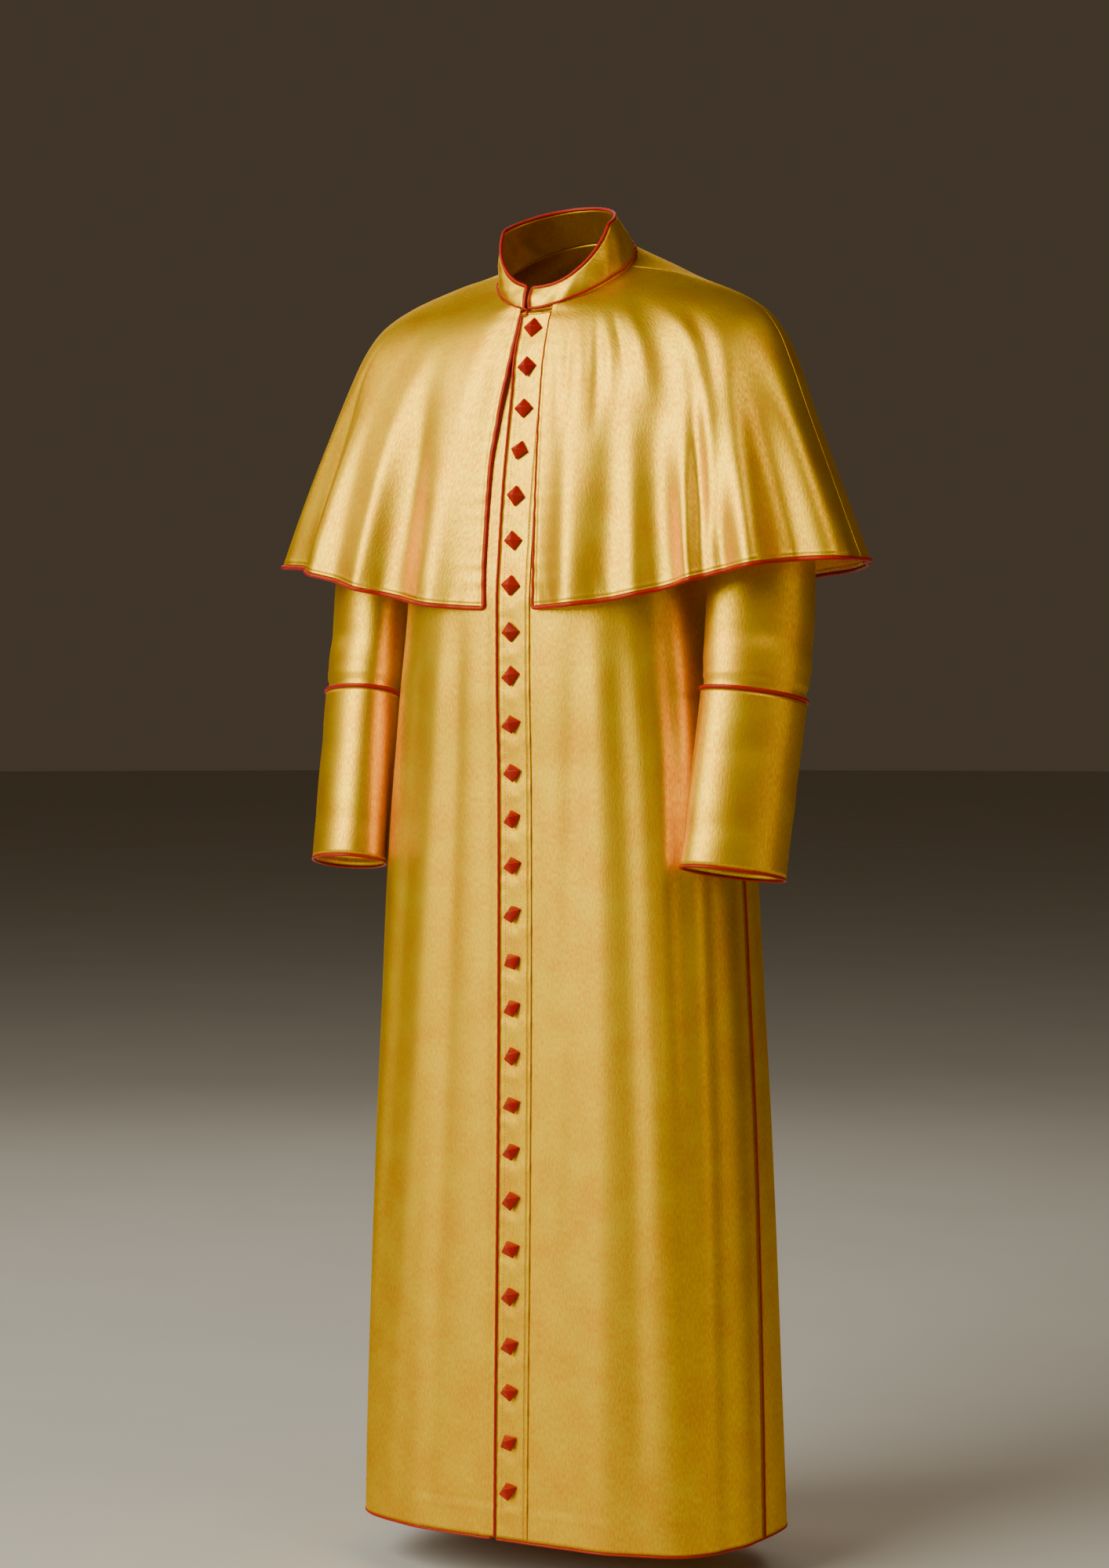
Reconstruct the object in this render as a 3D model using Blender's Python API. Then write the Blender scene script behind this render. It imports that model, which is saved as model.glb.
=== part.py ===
"""Solids of a satin cassock with a shoulder cape, in metres, +Z up.

The front faces -Y and the wearer's left is +X. The origin is the middle of the collar base, where
the neck holds the garment. Each piece a maker cuts and sews on is one closed solid with its own name.
Every sheet is a grid of points on a smooth form, moved inwards by the wall to make its other face.
"""

import math

import bpy
import numpy as np

WALL = 0.0012
SEAM_GAP = 0.0003
BODY_LINE_Y = 0.034

# Finishes: name, colour, roughness and how metallic the cloth looks.
GOLD_SATIN = ("gold_satin", (0.78, 0.50, 0.10, 1.0), 0.40, 0.30)
RED_SATIN = ("red_satin", (0.47, 0.012, 0.010, 1.0), 0.42, 0.0)
SHARP_ANGLE = math.radians(50)

# The form of the body cloth. Station is the way along the side line from the shoulder tip, up to the
# neck and down to the hem. Front and back depths are measured from the middle, and the middle from the
# body line. Squareness 2 is an ellipse. Dip is how the height goes from the side to the front and back.
RING_COLUMNS = (
    "station", "half_width", "middle", "front_depth", "back_depth", "front_height", "side_height",
    "back_height", "front_squareness", "back_squareness", "dip",
)
BODY_RINGS = (
    (-1.366, 0.2421, 0.000, 0.1500, 0.2020, -1.390, -1.390, -1.390, 3.0, 2.1, 1.5),
    (-1.226, 0.2393, 0.000, 0.1478, 0.1860, -1.250, -1.250, -1.250, 3.0, 2.1, 1.5),
    (-1.076, 0.2354, 0.000, 0.1447, 0.1760, -1.100, -1.100, -1.100, 3.0, 2.1, 1.5),
    (-0.926, 0.2302, 0.000, 0.1422, 0.1690, -0.950, -0.950, -0.950, 3.0, 2.1, 1.5),
    (-0.776, 0.2225, 0.000, 0.1405, 0.1660, -0.800, -0.800, -0.800, 3.0, 2.1, 1.5),
    (-0.626, 0.2142, 0.000, 0.1400, 0.1630, -0.650, -0.650, -0.650, 3.0, 2.1, 1.5),
    (-0.526, 0.2050, 0.000, 0.1405, 0.1600, -0.550, -0.550, -0.550, 3.0, 2.1, 1.5),
    (-0.426, 0.1925, 0.000, 0.1435, 0.1570, -0.450, -0.450, -0.450, 3.0, 2.1, 1.5),
    (-0.336, 0.1810, 0.000, 0.1440, 0.1550, -0.360, -0.360, -0.360, 3.0, 2.2, 1.5),
    (-0.276, 0.1780, 0.000, 0.1390, 0.1540, -0.302, -0.300, -0.300, 2.8, 2.2, 1.5),
    (-0.176, 0.1830, -0.001, 0.1290, 0.1480, -0.228, -0.200, -0.205, 2.6, 2.2, 1.5),
    (-0.096, 0.1900, -0.003, 0.1150, 0.1370, -0.160, -0.120, -0.130, 2.4, 2.2, 1.5),
    (-0.036, 0.1970, -0.005, 0.1050, 0.1230, -0.118, -0.060, -0.075, 2.3, 2.2, 1.5),
    (0.000, 0.1990, -0.006, 0.1020, 0.1130, -0.098, -0.026, -0.045, 2.3, 2.2, 1.4),
    (0.039, 0.1640, -0.007, 0.0960, 0.0960, -0.078, -0.010, 0.000, 2.2, 2.1, 1.3),
    (0.080, 0.1250, -0.008, 0.0870, 0.0820, -0.056, 0.003, 0.030, 2.1, 2.0, 1.1),
    (0.128, 0.0780, -0.010, 0.0790, 0.0660, -0.036, 0.012, 0.054, 2.0, 2.0, 1.0),
)
ARMPIT_STATION = -0.276
ARMHOLE_FRONT_CUT = 0.055
ARMHOLE_BACK_CUT = 0.048
ARMHOLE_ROUNDNESS = 2.4
BODY_STATIONS = (
    -1.366, -1.286, -1.166, -1.036, -0.906, -0.776, -0.656, -0.546, -0.446, -0.366, -0.306, -0.276,
    -0.271, -0.256, -0.230, -0.195, -0.150, -0.105, -0.062, -0.026, 0.000, 0.032, 0.064, 0.096, 0.128,
)
ARMPIT_ROW = 11
SHOULDER_ROW = 20

# The lap: the wearer's left front lies over the right one. Ways round the ring from the front middle.
LAP_EDGE = -0.0140
PLACKET_FROM = -0.0125
PLACKET_MIDDLE = 0.0070
PLACKET_TO = 0.0265
UNDER_EDGE = 0.0200
UNDER_MIDDLE = 0.0020
UNDER_FLAT_TO = -0.0175
UNDER_END = -0.0320
TUCK = 0.0022
PLACKET_WALL = 0.0010
PLACKET_SHORT_TOP = 0.0045
PLACKET_SHORT_LOW = 0.0015
FRONT_COLUMNS = 11
BACK_COLUMNS = 12

PLACE_STEP = 0.004
STATION_STEP = 0.002

# Soft folds of the body cloth: place (0 front middle, 1 side, 2 back middle), width, height at the hem
# and the height on the body where the fold starts.
BODY_FOLDS = (
    (0.36, 0.10, 0.0030, -0.40),
    (0.60, 0.09, 0.0040, -0.38),
    (0.80, 0.07, -0.0030, -0.38),
    (1.18, 0.09, 0.0060, -0.45),
    (1.40, 0.08, -0.0070, -0.50),
    (1.60, 0.10, 0.0110, -0.50),
    (1.82, 0.08, -0.0080, -0.50),
)

# The cape: the same kind of rings, by the way along its side line down from the neck.
CAPE_RINGS = (
    (0.000, 0.0787, -0.010, 0.0812, 0.0677, -0.0310, 0.0170, 0.0590, 2.0, 2.0, 1.0),
    (0.050, 0.1270, -0.009, 0.0930, 0.0880, -0.0550, 0.0090, 0.0360, 2.1, 2.0, 1.1),
    (0.090, 0.1670, -0.008, 0.1035, 0.1045, -0.0820, -0.0025, 0.0050, 2.2, 2.1, 1.3),
    (0.130, 0.2050, -0.008, 0.1115, 0.1210, -0.1120, -0.0165, -0.0330, 2.3, 2.2, 1.4),
    (0.170, 0.2400, -0.009, 0.1170, 0.1370, -0.1480, -0.0370, -0.0720, 2.3, 2.2, 1.5),
    (0.200, 0.2600, -0.010, 0.1200, 0.1470, -0.1780, -0.0620, -0.1080, 2.3, 2.2, 1.6),
    (0.240, 0.2765, -0.012, 0.1220, 0.1600, -0.2100, -0.0980, -0.1490, 2.3, 2.2, 1.8),
    (0.300, 0.2985, -0.014, 0.1250, 0.1730, -0.2550, -0.1550, -0.2080, 2.4, 2.2, 2.0),
    (0.370, 0.3270, -0.014, 0.1300, 0.1850, -0.3050, -0.2260, -0.2720, 2.5, 2.2, 2.4),
    (0.460, 0.3600, -0.012, 0.1370, 0.2030, -0.3620, -0.3100, -0.3540, 2.5, 2.2, 5.0),
)
CAPE_STATIONS = (0.460, 0.370, 0.285, 0.225, 0.190, 0.155, 0.115, 0.070, 0.030, 0.000)
CAPE_FRONT_COLUMNS = 26
CAPE_BACK_COLUMNS = 36

# Cape folds: angle round from the front middle in degrees, width in degrees, height at the hem and the
# station where the fold starts. One table for each side of the front, one for either half of the back.
CAPE_FOLDS_LEFT = (
    (24.0, 9.0, 0.0060, 0.12),
    (39.0, 9.0, 0.0150, 0.10),
    (53.5, 5.5, -0.0190, 0.14),
    (59.0, 3.0, 0.0110, 0.17),
    (63.0, 3.0, -0.0100, 0.17),
    (67.5, 4.0, 0.0190, 0.17),
    (74.0, 4.0, -0.0150, 0.19),
    (80.5, 4.0, 0.0110, 0.19),
)
CAPE_FOLDS_RIGHT = (
    (35.0, 9.0, 0.0090, 0.12),
    (47.0, 6.0, -0.0140, 0.14),
    (57.5, 5.5, 0.0150, 0.15),
    (66.5, 3.0, 0.0100, 0.16),
    (74.0, 3.5, -0.0130, 0.18),
    (85.0, 5.0, 0.0100, 0.17),
)
CAPE_FOLDS_BACK = (
    (102.0, 6.0, -0.0090, 0.20),
    (116.0, 6.5, 0.0180, 0.19),
    (127.0, 5.0, -0.0110, 0.19),
    (137.0, 6.5, 0.0170, 0.17),
    (150.0, 6.0, -0.0110, 0.17),
    (165.0, 8.0, 0.0130, 0.16),
)
# Where the two front edges of the cape run: station, right edge, left edge, from the front middle.
CAPE_EDGES = (
    (0.000, -0.0215, 0.0235),
    (0.090, -0.0245, 0.0258),
    (0.170, -0.0315, 0.0280),
    (0.240, -0.0360, 0.0295),
    (0.370, -0.0360, 0.0325),
    (0.460, -0.0340, 0.0350),
)

# Arm rings: height of the middle, middle across, middle along, long half, short half and turn in
# degrees of the flattened sleeve.
ARM_COLUMNS = ("height", "across", "along", "long_half", "short_half", "turn")
ARM_RINGS = (
    (-0.380, 0.2515, -0.0340, 0.0605, 0.0425, 45.0),
    (-0.460, 0.2520, -0.0490, 0.0590, 0.0420, 45.0),
    (-0.550, 0.2495, -0.0680, 0.0585, 0.0415, 45.0),
    (-0.649, 0.2465, -0.0875, 0.0585, 0.0415, 45.0),
)
SLEEVE_CAP_ROWS = 8

# The sleeve head leaves the armhole outwards, drops, and meets the arm from above. Each pair is the
# value at the armpit and at the shoulder tip.
HEAD_OUT = (0.012, 0.090)
HEAD_DROP = (-0.55, -0.10)
HEAD_LIFT = (0.045, 0.140)
HEAD_LEAN = 0.1
HEAD_FULLNESS = 1.3

SLEEVE_HEIGHTS = (-0.380, -0.420, -0.449, -0.456, -0.550, -0.641)
CUFF_HEIGHTS = (-0.649, -0.550, -0.462)
CUFF_WALL = 0.0015
CUFF_SINK = 0.0025
SINK_BELOW = -0.452

# The collar: its first ring stands on the neck edge of the body.
COLLAR_RINGS = (
    (0.0, 0.0776, -0.010, 0.0786, 0.0656, -0.0354, 0.0126, 0.0546, 2.0, 2.0, 1.0),
    (1.0, 0.0690, -0.0410, 0.0410, 0.0640, -0.0100, 0.0590, 0.0880, 2.0, 2.0, 1.0),
)
COLLAR_STATIONS = (0.0, 0.33, 0.67, 1.0)
COLLAR_BULGE = 0.0025
COLLAR_WALL = 0.0020
COLLAR_FROM = -0.0055
COLLAR_TO = -0.0165
COLLAR_COLUMNS = 32

COLLAR_PIPING = 0.0019
COLLAR_CORNER = 0.0006
NECK_PIPING = 0.0017
NECK_PIPING_RISE = 0.0090
CAPE_PIPING = 0.0024
FRONT_PIPING = 0.0015
HEM_PIPING = 0.0013
SIDE_PIPING = 0.0011
SIDE_PIPING_SHORT = 0.006
CUFF_TOP_PIPING = 0.0022
CUFF_HEM_PIPING = 0.0017
HEM_PIPING_LAP = -0.0190

LOOP_RADIUS = 0.0042
LOOP_CORD = 0.0009
LOOP_POINTS = 14
LOOP_SEAT = 0.0010
LOOP_PLACE = (-0.0110, -0.0370)

BUTTON_HALF = 0.0112
BUTTON_RISE = 0.0085
BUTTON_EDGE = 0.0012
BUTTON_LIFT = 0.0011
BUTTON_ACROSS = 0.0030
# Heights of the button middles down the front.
BUTTON_HEIGHTS = (
    -0.0560, -0.0990, -0.1455, -0.1920, -0.2420, -0.2910, -0.3400, -0.3905, -0.4385, -0.4915, -0.5445,
    -0.5955, -0.6465, -0.6995, -0.7520, -0.8035, -0.8560, -0.9100, -0.9615, -1.0155, -1.0690, -1.1210,
    -1.1755, -1.2265, -1.2825, -1.3360,
)


def smooth_value(keys, values, at):
    """Values of a table at other places, by a smooth curve that never passes its own rows."""
    keys = np.asarray(keys, float)
    values = np.asarray(values, float)
    steps = np.diff(keys)
    slopes = np.diff(values) / steps
    tangents = np.zeros(len(keys))
    tangents[0] = slopes[0]
    tangents[-1] = slopes[-1]
    for i in range(1, len(keys) - 1):
        if slopes[i - 1] * slopes[i] > 0:
            first = 2 * steps[i] + steps[i - 1]
            second = steps[i] + 2 * steps[i - 1]
            tangents[i] = (first + second) / (first / slopes[i - 1] + second / slopes[i])
    at = np.clip(np.asarray(at, float), keys[0], keys[-1])
    spot = np.clip(np.searchsorted(keys, at) - 1, 0, len(steps) - 1)
    step = steps[spot]
    part = (at - keys[spot]) / step
    return (
        (1 + 2 * part) * (1 - part) ** 2 * values[spot]
        + part * (1 - part) ** 2 * step * tangents[spot]
        + part**2 * (3 - 2 * part) * values[spot + 1]
        + part**2 * (part - 1) * step * tangents[spot + 1]
    )


class Ring:
    """A loop round the body at one station, read by the way round it from the front middle."""

    def __init__(self, table, station):
        keys = [row[0] for row in table]
        self.sizes = {
            name: float(smooth_value(keys, [row[i] for row in table], station))
            for i, name in enumerate(RING_COLUMNS)
        }
        self.angles = (1 - np.cos(np.linspace(0, math.pi, 121))) * math.pi / 4
        self.ways = []
        for side in ("front", "back"):
            power = 2 / self.sizes[side + "_squareness"]
            across = self.sizes["half_width"] * np.sin(self.angles) ** power
            along = self.sizes[side + "_depth"] * np.cos(self.angles) ** power
            lengths = np.hypot(np.diff(across), np.diff(along))
            self.ways.append(np.concatenate([[0], np.cumsum(lengths)]))
        self.front_length = self.ways[0][-1]
        self.back_length = self.ways[1][-1]

    def place_of(self, way):
        """A way in metres from the front middle, as a place (1 is the side, 2 the back middle)."""
        return way / self.front_length

    def points(self, places):
        """Points at places round the ring. Negative places are on the wearer's right."""
        places = wrapped(places)
        side = np.where(places < 0, -1.0, 1.0)
        part = np.abs(places)
        front = part <= 1
        angle = np.where(
            front,
            np.interp(part * self.front_length, self.ways[0], self.angles),
            np.interp((2 - part) * self.back_length, self.ways[1], self.angles),
        )
        sizes = self.sizes
        power = 2 / np.where(front, sizes["front_squareness"], sizes["back_squareness"])
        depth = np.where(front, -sizes["front_depth"], sizes["back_depth"])
        end_height = np.where(front, sizes["front_height"], sizes["back_height"])
        x = side * sizes["half_width"] * np.sin(angle) ** power
        y = sizes["middle"] + depth * np.cos(angle) ** power + BODY_LINE_Y
        rise = (end_height - sizes["side_height"]) * np.cos(angle) ** sizes["dip"]
        return np.stack([x, y, sizes["side_height"] + rise], axis=-1)


class Form:
    """A smooth surface through a table of rings, with a rule for how far folds move it out."""

    def __init__(self, table, fold):
        self.table = table
        self.fold = fold
        self.rings = {}

    def ring(self, station):
        key = round(float(station), 6)
        if key not in self.rings:
            self.rings[key] = Ring(self.table, key)
        return self.rings[key]

    def row(self, station, places):
        """Points of one row, with its folds."""
        ring = self.ring(station)
        base = ring.points(places)
        along = ring.points(places + PLACE_STEP) - ring.points(places - PLACE_STEP)
        out = unit(np.cross(along, (0.0, 0.0, 1.0)))
        return base + out * self.fold(station, wrapped(places), base)[:, None]

    def grid(self, stations, places):
        """Points and outward directions, with one row of places for each station."""
        low, high = self.table[0][0], self.table[-1][0]
        points, normals = [], []
        for station, row in zip(stations, places):
            row = np.asarray(row, float)
            points.append(self.row(station, row))
            along = self.row(station, row + PLACE_STEP) - self.row(station, row - PLACE_STEP)
            above = min(station + STATION_STEP, high)
            below = max(station - STATION_STEP, low)
            up = self.row(above, row) - self.row(below, row)
            normals.append(unit(np.cross(along, up)) * (1 if self.upwards() else -1))
        return Sheet(np.array(points), np.array(normals))

    def upwards(self):
        """Whether stations grow upwards, as on the body, or downwards, as on the cape."""
        return self.table[0][6] < self.table[-1][6]


class Sheet:
    """A grid of points with its outward directions. Columns go towards the wearer's left."""

    def __init__(self, points, normals):
        self.points = points
        self.normals = normals

    def mirrored(self):
        flip = np.array([-1.0, 1.0, 1.0])
        return Sheet(self.points[:, ::-1] * flip, self.normals[:, ::-1] * flip)

    def moved(self, distance):
        distance = np.asarray(distance, float)
        if distance.ndim:
            distance = distance[..., None]
        return Sheet(self.points + self.normals * distance, self.normals)

    def edge(self, edge, radius, wall):
        """A path just off one edge, level with the middle of the wall, for a cord of this radius."""
        rows = {
            "low": (self.points[0], self.points[1], self.normals[0]),
            "high": (self.points[-1], self.points[-2], self.normals[-1]),
            "first": (self.points[:, 0], self.points[:, 1], self.normals[:, 0]),
            "last": (self.points[:, -1], self.points[:, -2], self.normals[:, -1]),
        }
        line, neighbour, normals = rows[edge]
        along = unit(np.gradient(line, axis=0))
        out = line - neighbour
        out = unit(out - along * np.sum(out * along, axis=1, keepdims=True))
        return line + out * (radius + SEAM_GAP) - normals * wall / 2


def wrapped(places):
    """Places with the wearer's right side as negative ones."""
    places = np.asarray(places, float)
    return np.where(places > 2, places - 4, places)


def unit(vectors):
    return vectors / np.maximum(np.linalg.norm(vectors, axis=-1, keepdims=True), 1e-12)


def tube_normals(grid):
    """Outward directions of a grid that closes on itself round its columns."""
    along = np.roll(grid, -1, axis=1) - np.roll(grid, 1, axis=1)
    return unit(np.cross(along, np.gradient(grid, axis=0)))


def between(pair, part):
    return pair[0] + (pair[1] - pair[0]) * part


def soft_step(value):
    value = np.clip(value, 0, 1)
    return value * value * (3 - 2 * value)


def finish_of(finish):
    """The material of a finish, made the first time it is asked for."""
    name, colour, roughness, metallic = finish
    if name in bpy.data.materials:
        return bpy.data.materials[name]
    material = bpy.data.materials.new(name)
    material.use_nodes = True
    material.diffuse_color = colour
    shader = material.node_tree.nodes["Principled BSDF"]
    shader.inputs["Base Color"].default_value = colour
    shader.inputs["Roughness"].default_value = roughness
    shader.inputs["Metallic"].default_value = metallic
    return material


def add_solid(name, points, faces, finish):
    """A closed solid from its points and triangles, turned so that its faces look out."""
    points = [np.asarray(p, float) for p in points]
    volume = sum(np.dot(points[a], np.cross(points[b], points[c])) for a, b, c in faces)
    if volume < 0:
        faces = [face[::-1] for face in faces]
    mesh = bpy.data.meshes.new(name)
    mesh.from_pydata([tuple(map(float, p)) for p in points], [], faces)
    mesh.update()
    mesh.shade_smooth()
    mesh.set_sharp_from_angle(angle=SHARP_ANGLE)
    mesh.materials.append(finish_of(finish))
    solid = bpy.data.objects.new(name, mesh)
    bpy.context.scene.collection.objects.link(solid)
    return solid


def add_cloth(name, sheet, wall, wraps=False):
    """A sheet of cloth as a closed solid: the outer grid, the same grid moved in, and the rims."""
    outer = sheet.points
    rows, columns = outer.shape[:2]
    points = np.concatenate([outer.reshape(-1, 3), sheet.moved(-wall).points.reshape(-1, 3)])
    back = rows * columns
    faces = []
    spans = columns if wraps else columns - 1
    for r in range(rows - 1):
        for c in range(spans):
            right = (c + 1) % columns
            a, b = r * columns + c, r * columns + right
            d, e = a + columns, b + columns
            faces += [(a, b, e), (a, e, d), (back + a, back + e, back + b), (back + a, back + d, back + e)]
    rims = [(c, (c + 1) % columns) for c in range(spans)]
    top = (rows - 1) * columns
    rims += [(top + high, top + low) for low, high in rims]
    if not wraps:
        rims += [((r + 1) * columns, r * columns) for r in range(rows - 1)]
        rims += [((r + 1) * columns - 1, (r + 2) * columns - 1) for r in range(rows - 1)]
    for low, high in rims:
        faces += [(low, back + low, back + high), (low, back + high, high)]
    return add_solid(name, points, faces, GOLD_SATIN)


def add_tube(name, path, radius, wraps=False, sides=6):
    """A round cord along a path, as a closed solid."""
    path = np.asarray(path, float)
    if wraps:
        ways = unit(np.roll(path, -1, axis=0) - np.roll(path, 1, axis=0))
    else:
        ways = unit(np.gradient(path, axis=0))
    side = np.cross(ways[0], (0.0, 0.0, 1.0))
    if np.linalg.norm(side) < 0.2:
        side = np.cross(ways[0], (0.0, 1.0, 0.0))
    points = []
    turns = np.arange(sides) * 2 * math.pi / sides
    for spot, way in zip(path, ways):
        side = unit(side - way * np.dot(side, way))
        other = np.cross(way, side)
        points.extend(spot + radius * (math.cos(t) * side + math.sin(t) * other) for t in turns)
    faces = []
    count = len(path)
    for i in range(count if wraps else count - 1):
        low, high = i * sides, ((i + 1) % count) * sides
        for k in range(sides):
            n = (k + 1) % sides
            faces += [(low + k, high + n, low + n), (low + k, high + k, high + n)]
    if not wraps:
        last = (count - 1) * sides
        for k in range(1, sides - 1):
            faces += [(0, k, k + 1), (last, last + k + 1, last + k)]
    return add_solid(name, points, faces, RED_SATIN)


def body_fold(_station, places, points):
    """How far the soft folds move the body cloth out."""
    part = np.abs(places)
    total = np.zeros(len(part))
    for place, width, height, start in BODY_FOLDS:
        ramp = soft_step((start - points[:, 2]) / (start - BODY_RINGS[0][6]))
        for around in (place, 4 - place):
            total += height * ramp * np.exp(-(((part - around) / width) ** 2))
    return total


def cape_fold(station, _places, points):
    """How far the folds move the cape out."""
    angles = np.degrees(np.arctan2(np.abs(points[:, 0]), BODY_LINE_Y - points[:, 1]))
    total = np.zeros(len(angles))
    lower = CAPE_RINGS[-1][0]
    for table, side in ((CAPE_FOLDS_LEFT, 1), (CAPE_FOLDS_RIGHT, -1), (CAPE_FOLDS_BACK, 0)):
        here = np.where(side * points[:, 0] >= 0, 1.0, 0.0)
        for angle, width, height, start in table:
            ramp = float(soft_step((station - start) / (lower - start))) ** 0.8
            total += here * height * ramp * np.exp(-(((angles - angle) / width) ** 2))
    return total


def collar_fold(station, _places, points):
    return np.full(len(points), COLLAR_BULGE * math.sin(math.pi * station))


BODY = Form(BODY_RINGS, body_fold)
CAPE = Form(CAPE_RINGS, cape_fold)
COLLAR = Form(COLLAR_RINGS, collar_fold)


def armhole_way(station, cut):
    """How far from the side line the armhole edge lies at a station."""
    if station < ARMPIT_STATION or station > 0:
        return 0.0
    level = 1 - 2 * station / ARMPIT_STATION
    return cut * (1 - min(abs(level), 1.0) ** ARMHOLE_ROUNDNESS) ** (1 / ARMHOLE_ROUNDNESS)


def front_places(station, ways):
    """Places of a front panel's columns: some at fixed ways from the middle, the rest to its side edge."""
    ring = BODY.ring(station)
    side = 1 - (armhole_way(station, ARMHOLE_FRONT_CUT) + SEAM_GAP / 2) / ring.front_length
    fixed = [ring.place_of(way) for way in ways]
    return np.concatenate([fixed, np.linspace(fixed[-1], side, FRONT_COLUMNS - len(fixed) + 1)[1:]])


def back_places(station):
    ring = BODY.ring(station)
    side = 1 + (armhole_way(station, ARMHOLE_BACK_CUT) + SEAM_GAP / 2) / ring.back_length
    return np.linspace(side, 2 - SEAM_GAP / 2 / ring.back_length, BACK_COLUMNS)


def make_panels():
    """The four body panels and the placket band. Returns the sheets that trims are made from."""
    left_ways = (LAP_EDGE, PLACKET_FROM, PLACKET_MIDDLE, PLACKET_TO)
    left = BODY.grid(BODY_STATIONS, [front_places(s, left_ways) for s in BODY_STATIONS])
    # The right front is worked out on the left side, run on under the left front, and mirrored.
    right_ways = (-UNDER_EDGE, -UNDER_MIDDLE, -UNDER_FLAT_TO, -UNDER_END)
    right = BODY.grid(BODY_STATIONS, [front_places(s, right_ways) for s in BODY_STATIONS])
    tuck = np.zeros(right.points.shape[:2])
    tuck[:, :3] = -TUCK
    right = right.moved(tuck).mirrored()
    back = BODY.grid(BODY_STATIONS, [back_places(s) for s in BODY_STATIONS])
    add_cloth("front_left", left, WALL)
    add_cloth("front_right", right, WALL)
    add_cloth("back_left", back, WALL)
    add_cloth("back_right", back.mirrored(), WALL)
    lifted = left.moved(PLACKET_WALL + SEAM_GAP)
    band = Sheet(lifted.points[:, 1:4].copy(), lifted.normals[:, 1:4])
    band.points[0] += unit(band.points[1] - band.points[0]) * PLACKET_SHORT_LOW
    band.points[-1] += unit(band.points[-2] - band.points[-1]) * PLACKET_SHORT_TOP
    add_cloth("placket", band, PLACKET_WALL)
    return left, right, back


def armhole_loop(front, back):
    """The left armhole from the panels' own edge points, and how far round each one lies.

    It starts at the armpit and goes up the front edge, over the shoulder tip and down the back edge.
    """
    rows = slice(ARMPIT_ROW, SHOULDER_ROW + 1)
    ahead, behind = front.points[rows, -1], back.points[rows, 0]
    armpit, tip = (ahead[0] + behind[0]) / 2, (ahead[-1] + behind[-1]) / 2
    loop = np.concatenate([[armpit], ahead[1:-1], [tip], behind[-2:0:-1]])
    steps = np.linalg.norm(np.roll(loop, -1, axis=0) - loop, axis=1)
    return loop, np.concatenate([[0], np.cumsum(steps)[:-1]]) / steps.sum()


def arm_ring(height, around, shrink=0.0):
    """A ring of the sleeve, square to the arm, starting on its inner side and going by the front."""
    keys = [-row[0] for row in ARM_RINGS]
    size = {
        name: float(smooth_value(keys, [row[i] for row in ARM_RINGS], -height))
        for i, name in enumerate(ARM_COLUMNS)
    }
    top, low = ARM_RINGS[0], ARM_RINGS[-1]
    way = unit(np.array([top[1] - low[1], top[2] - low[2], top[0] - low[0]]))
    turn = math.radians(size["turn"])
    angles = around * 2 * math.pi + math.pi - turn
    along_long = (size["long_half"] - shrink) * np.cos(angles)
    along_short = (size["short_half"] - shrink) * np.sin(angles)
    dx = along_long * math.cos(turn) - along_short * math.sin(turn)
    dy = along_long * math.sin(turn) + along_short * math.cos(turn)
    dz = -(dx * way[0] + dy * way[1]) / way[2]
    return np.stack([size["across"] + dx, size["along"] + dy + BODY_LINE_Y, height + dz], axis=-1)


def cap_rows(loop, ring, around):
    """Rows of the sleeve head, from the armhole loop to the first arm ring."""
    height = 0.5 - 0.5 * np.cos(around * 2 * math.pi)
    out = between(HEAD_OUT, height**HEAD_FULLNESS)
    drop = between(HEAD_DROP, height)
    first = loop + np.stack([out, 0 * out, out * drop], axis=-1)
    lift = between(HEAD_LIFT, height)
    second = ring + np.stack([0 * lift, HEAD_LEAN * lift, lift], axis=-1)
    return [
        (1 - t) ** 3 * loop + 3 * t * (1 - t) ** 2 * first + 3 * t * t * (1 - t) * second + t**3 * ring
        for t in np.linspace(0, 1, SLEEVE_CAP_ROWS)
    ]


def make_sleeves(front, back):
    """Both sleeves, cuffs and their pipings."""
    loop, around = armhole_loop(front, back)
    loop = loop + unit(loop.mean(axis=0) - loop) * 2 * SEAM_GAP + np.array([SEAM_GAP, 0, 0])
    rows = cap_rows(loop, arm_ring(SLEEVE_HEIGHTS[0], around), around)
    for height in SLEEVE_HEIGHTS[1:]:
        rows.append(arm_ring(height, around, CUFF_SINK if height < SINK_BELOW else 0.0))
    sleeve = np.array(rows)[::-1]
    sleeve = Sheet(sleeve, tube_normals(sleeve))
    cuff = np.array([arm_ring(height, around) for height in CUFF_HEIGHTS])
    cuff = Sheet(cuff, tube_normals(cuff))
    up = unit(cuff.points[-1] - cuff.points[-2])
    top_path = cuff.points[-1] + up * (CUFF_TOP_PIPING + SEAM_GAP)
    top_path += cuff.normals[-1] * SEAM_GAP
    low_path = cuff.points[0] - up * (CUFF_HEM_PIPING + SEAM_GAP) - cuff.normals[0] * CUFF_WALL / 2
    flip = np.array([-1.0, 1.0, 1.0])
    for name, right in (("left", False), ("right", True)):
        for piece, sheet, wall in (("sleeve", sleeve, WALL), ("cuff", cuff, CUFF_WALL)):
            add_cloth(f"{piece}_{name}", sheet.mirrored() if right else sheet, wall, True)
        for place, path, radius in (("top", top_path, CUFF_TOP_PIPING), ("hem", low_path, CUFF_HEM_PIPING)):
            add_tube(f"piping_cuff_{place}_{name}", path * flip if right else path, radius, True)


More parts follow.
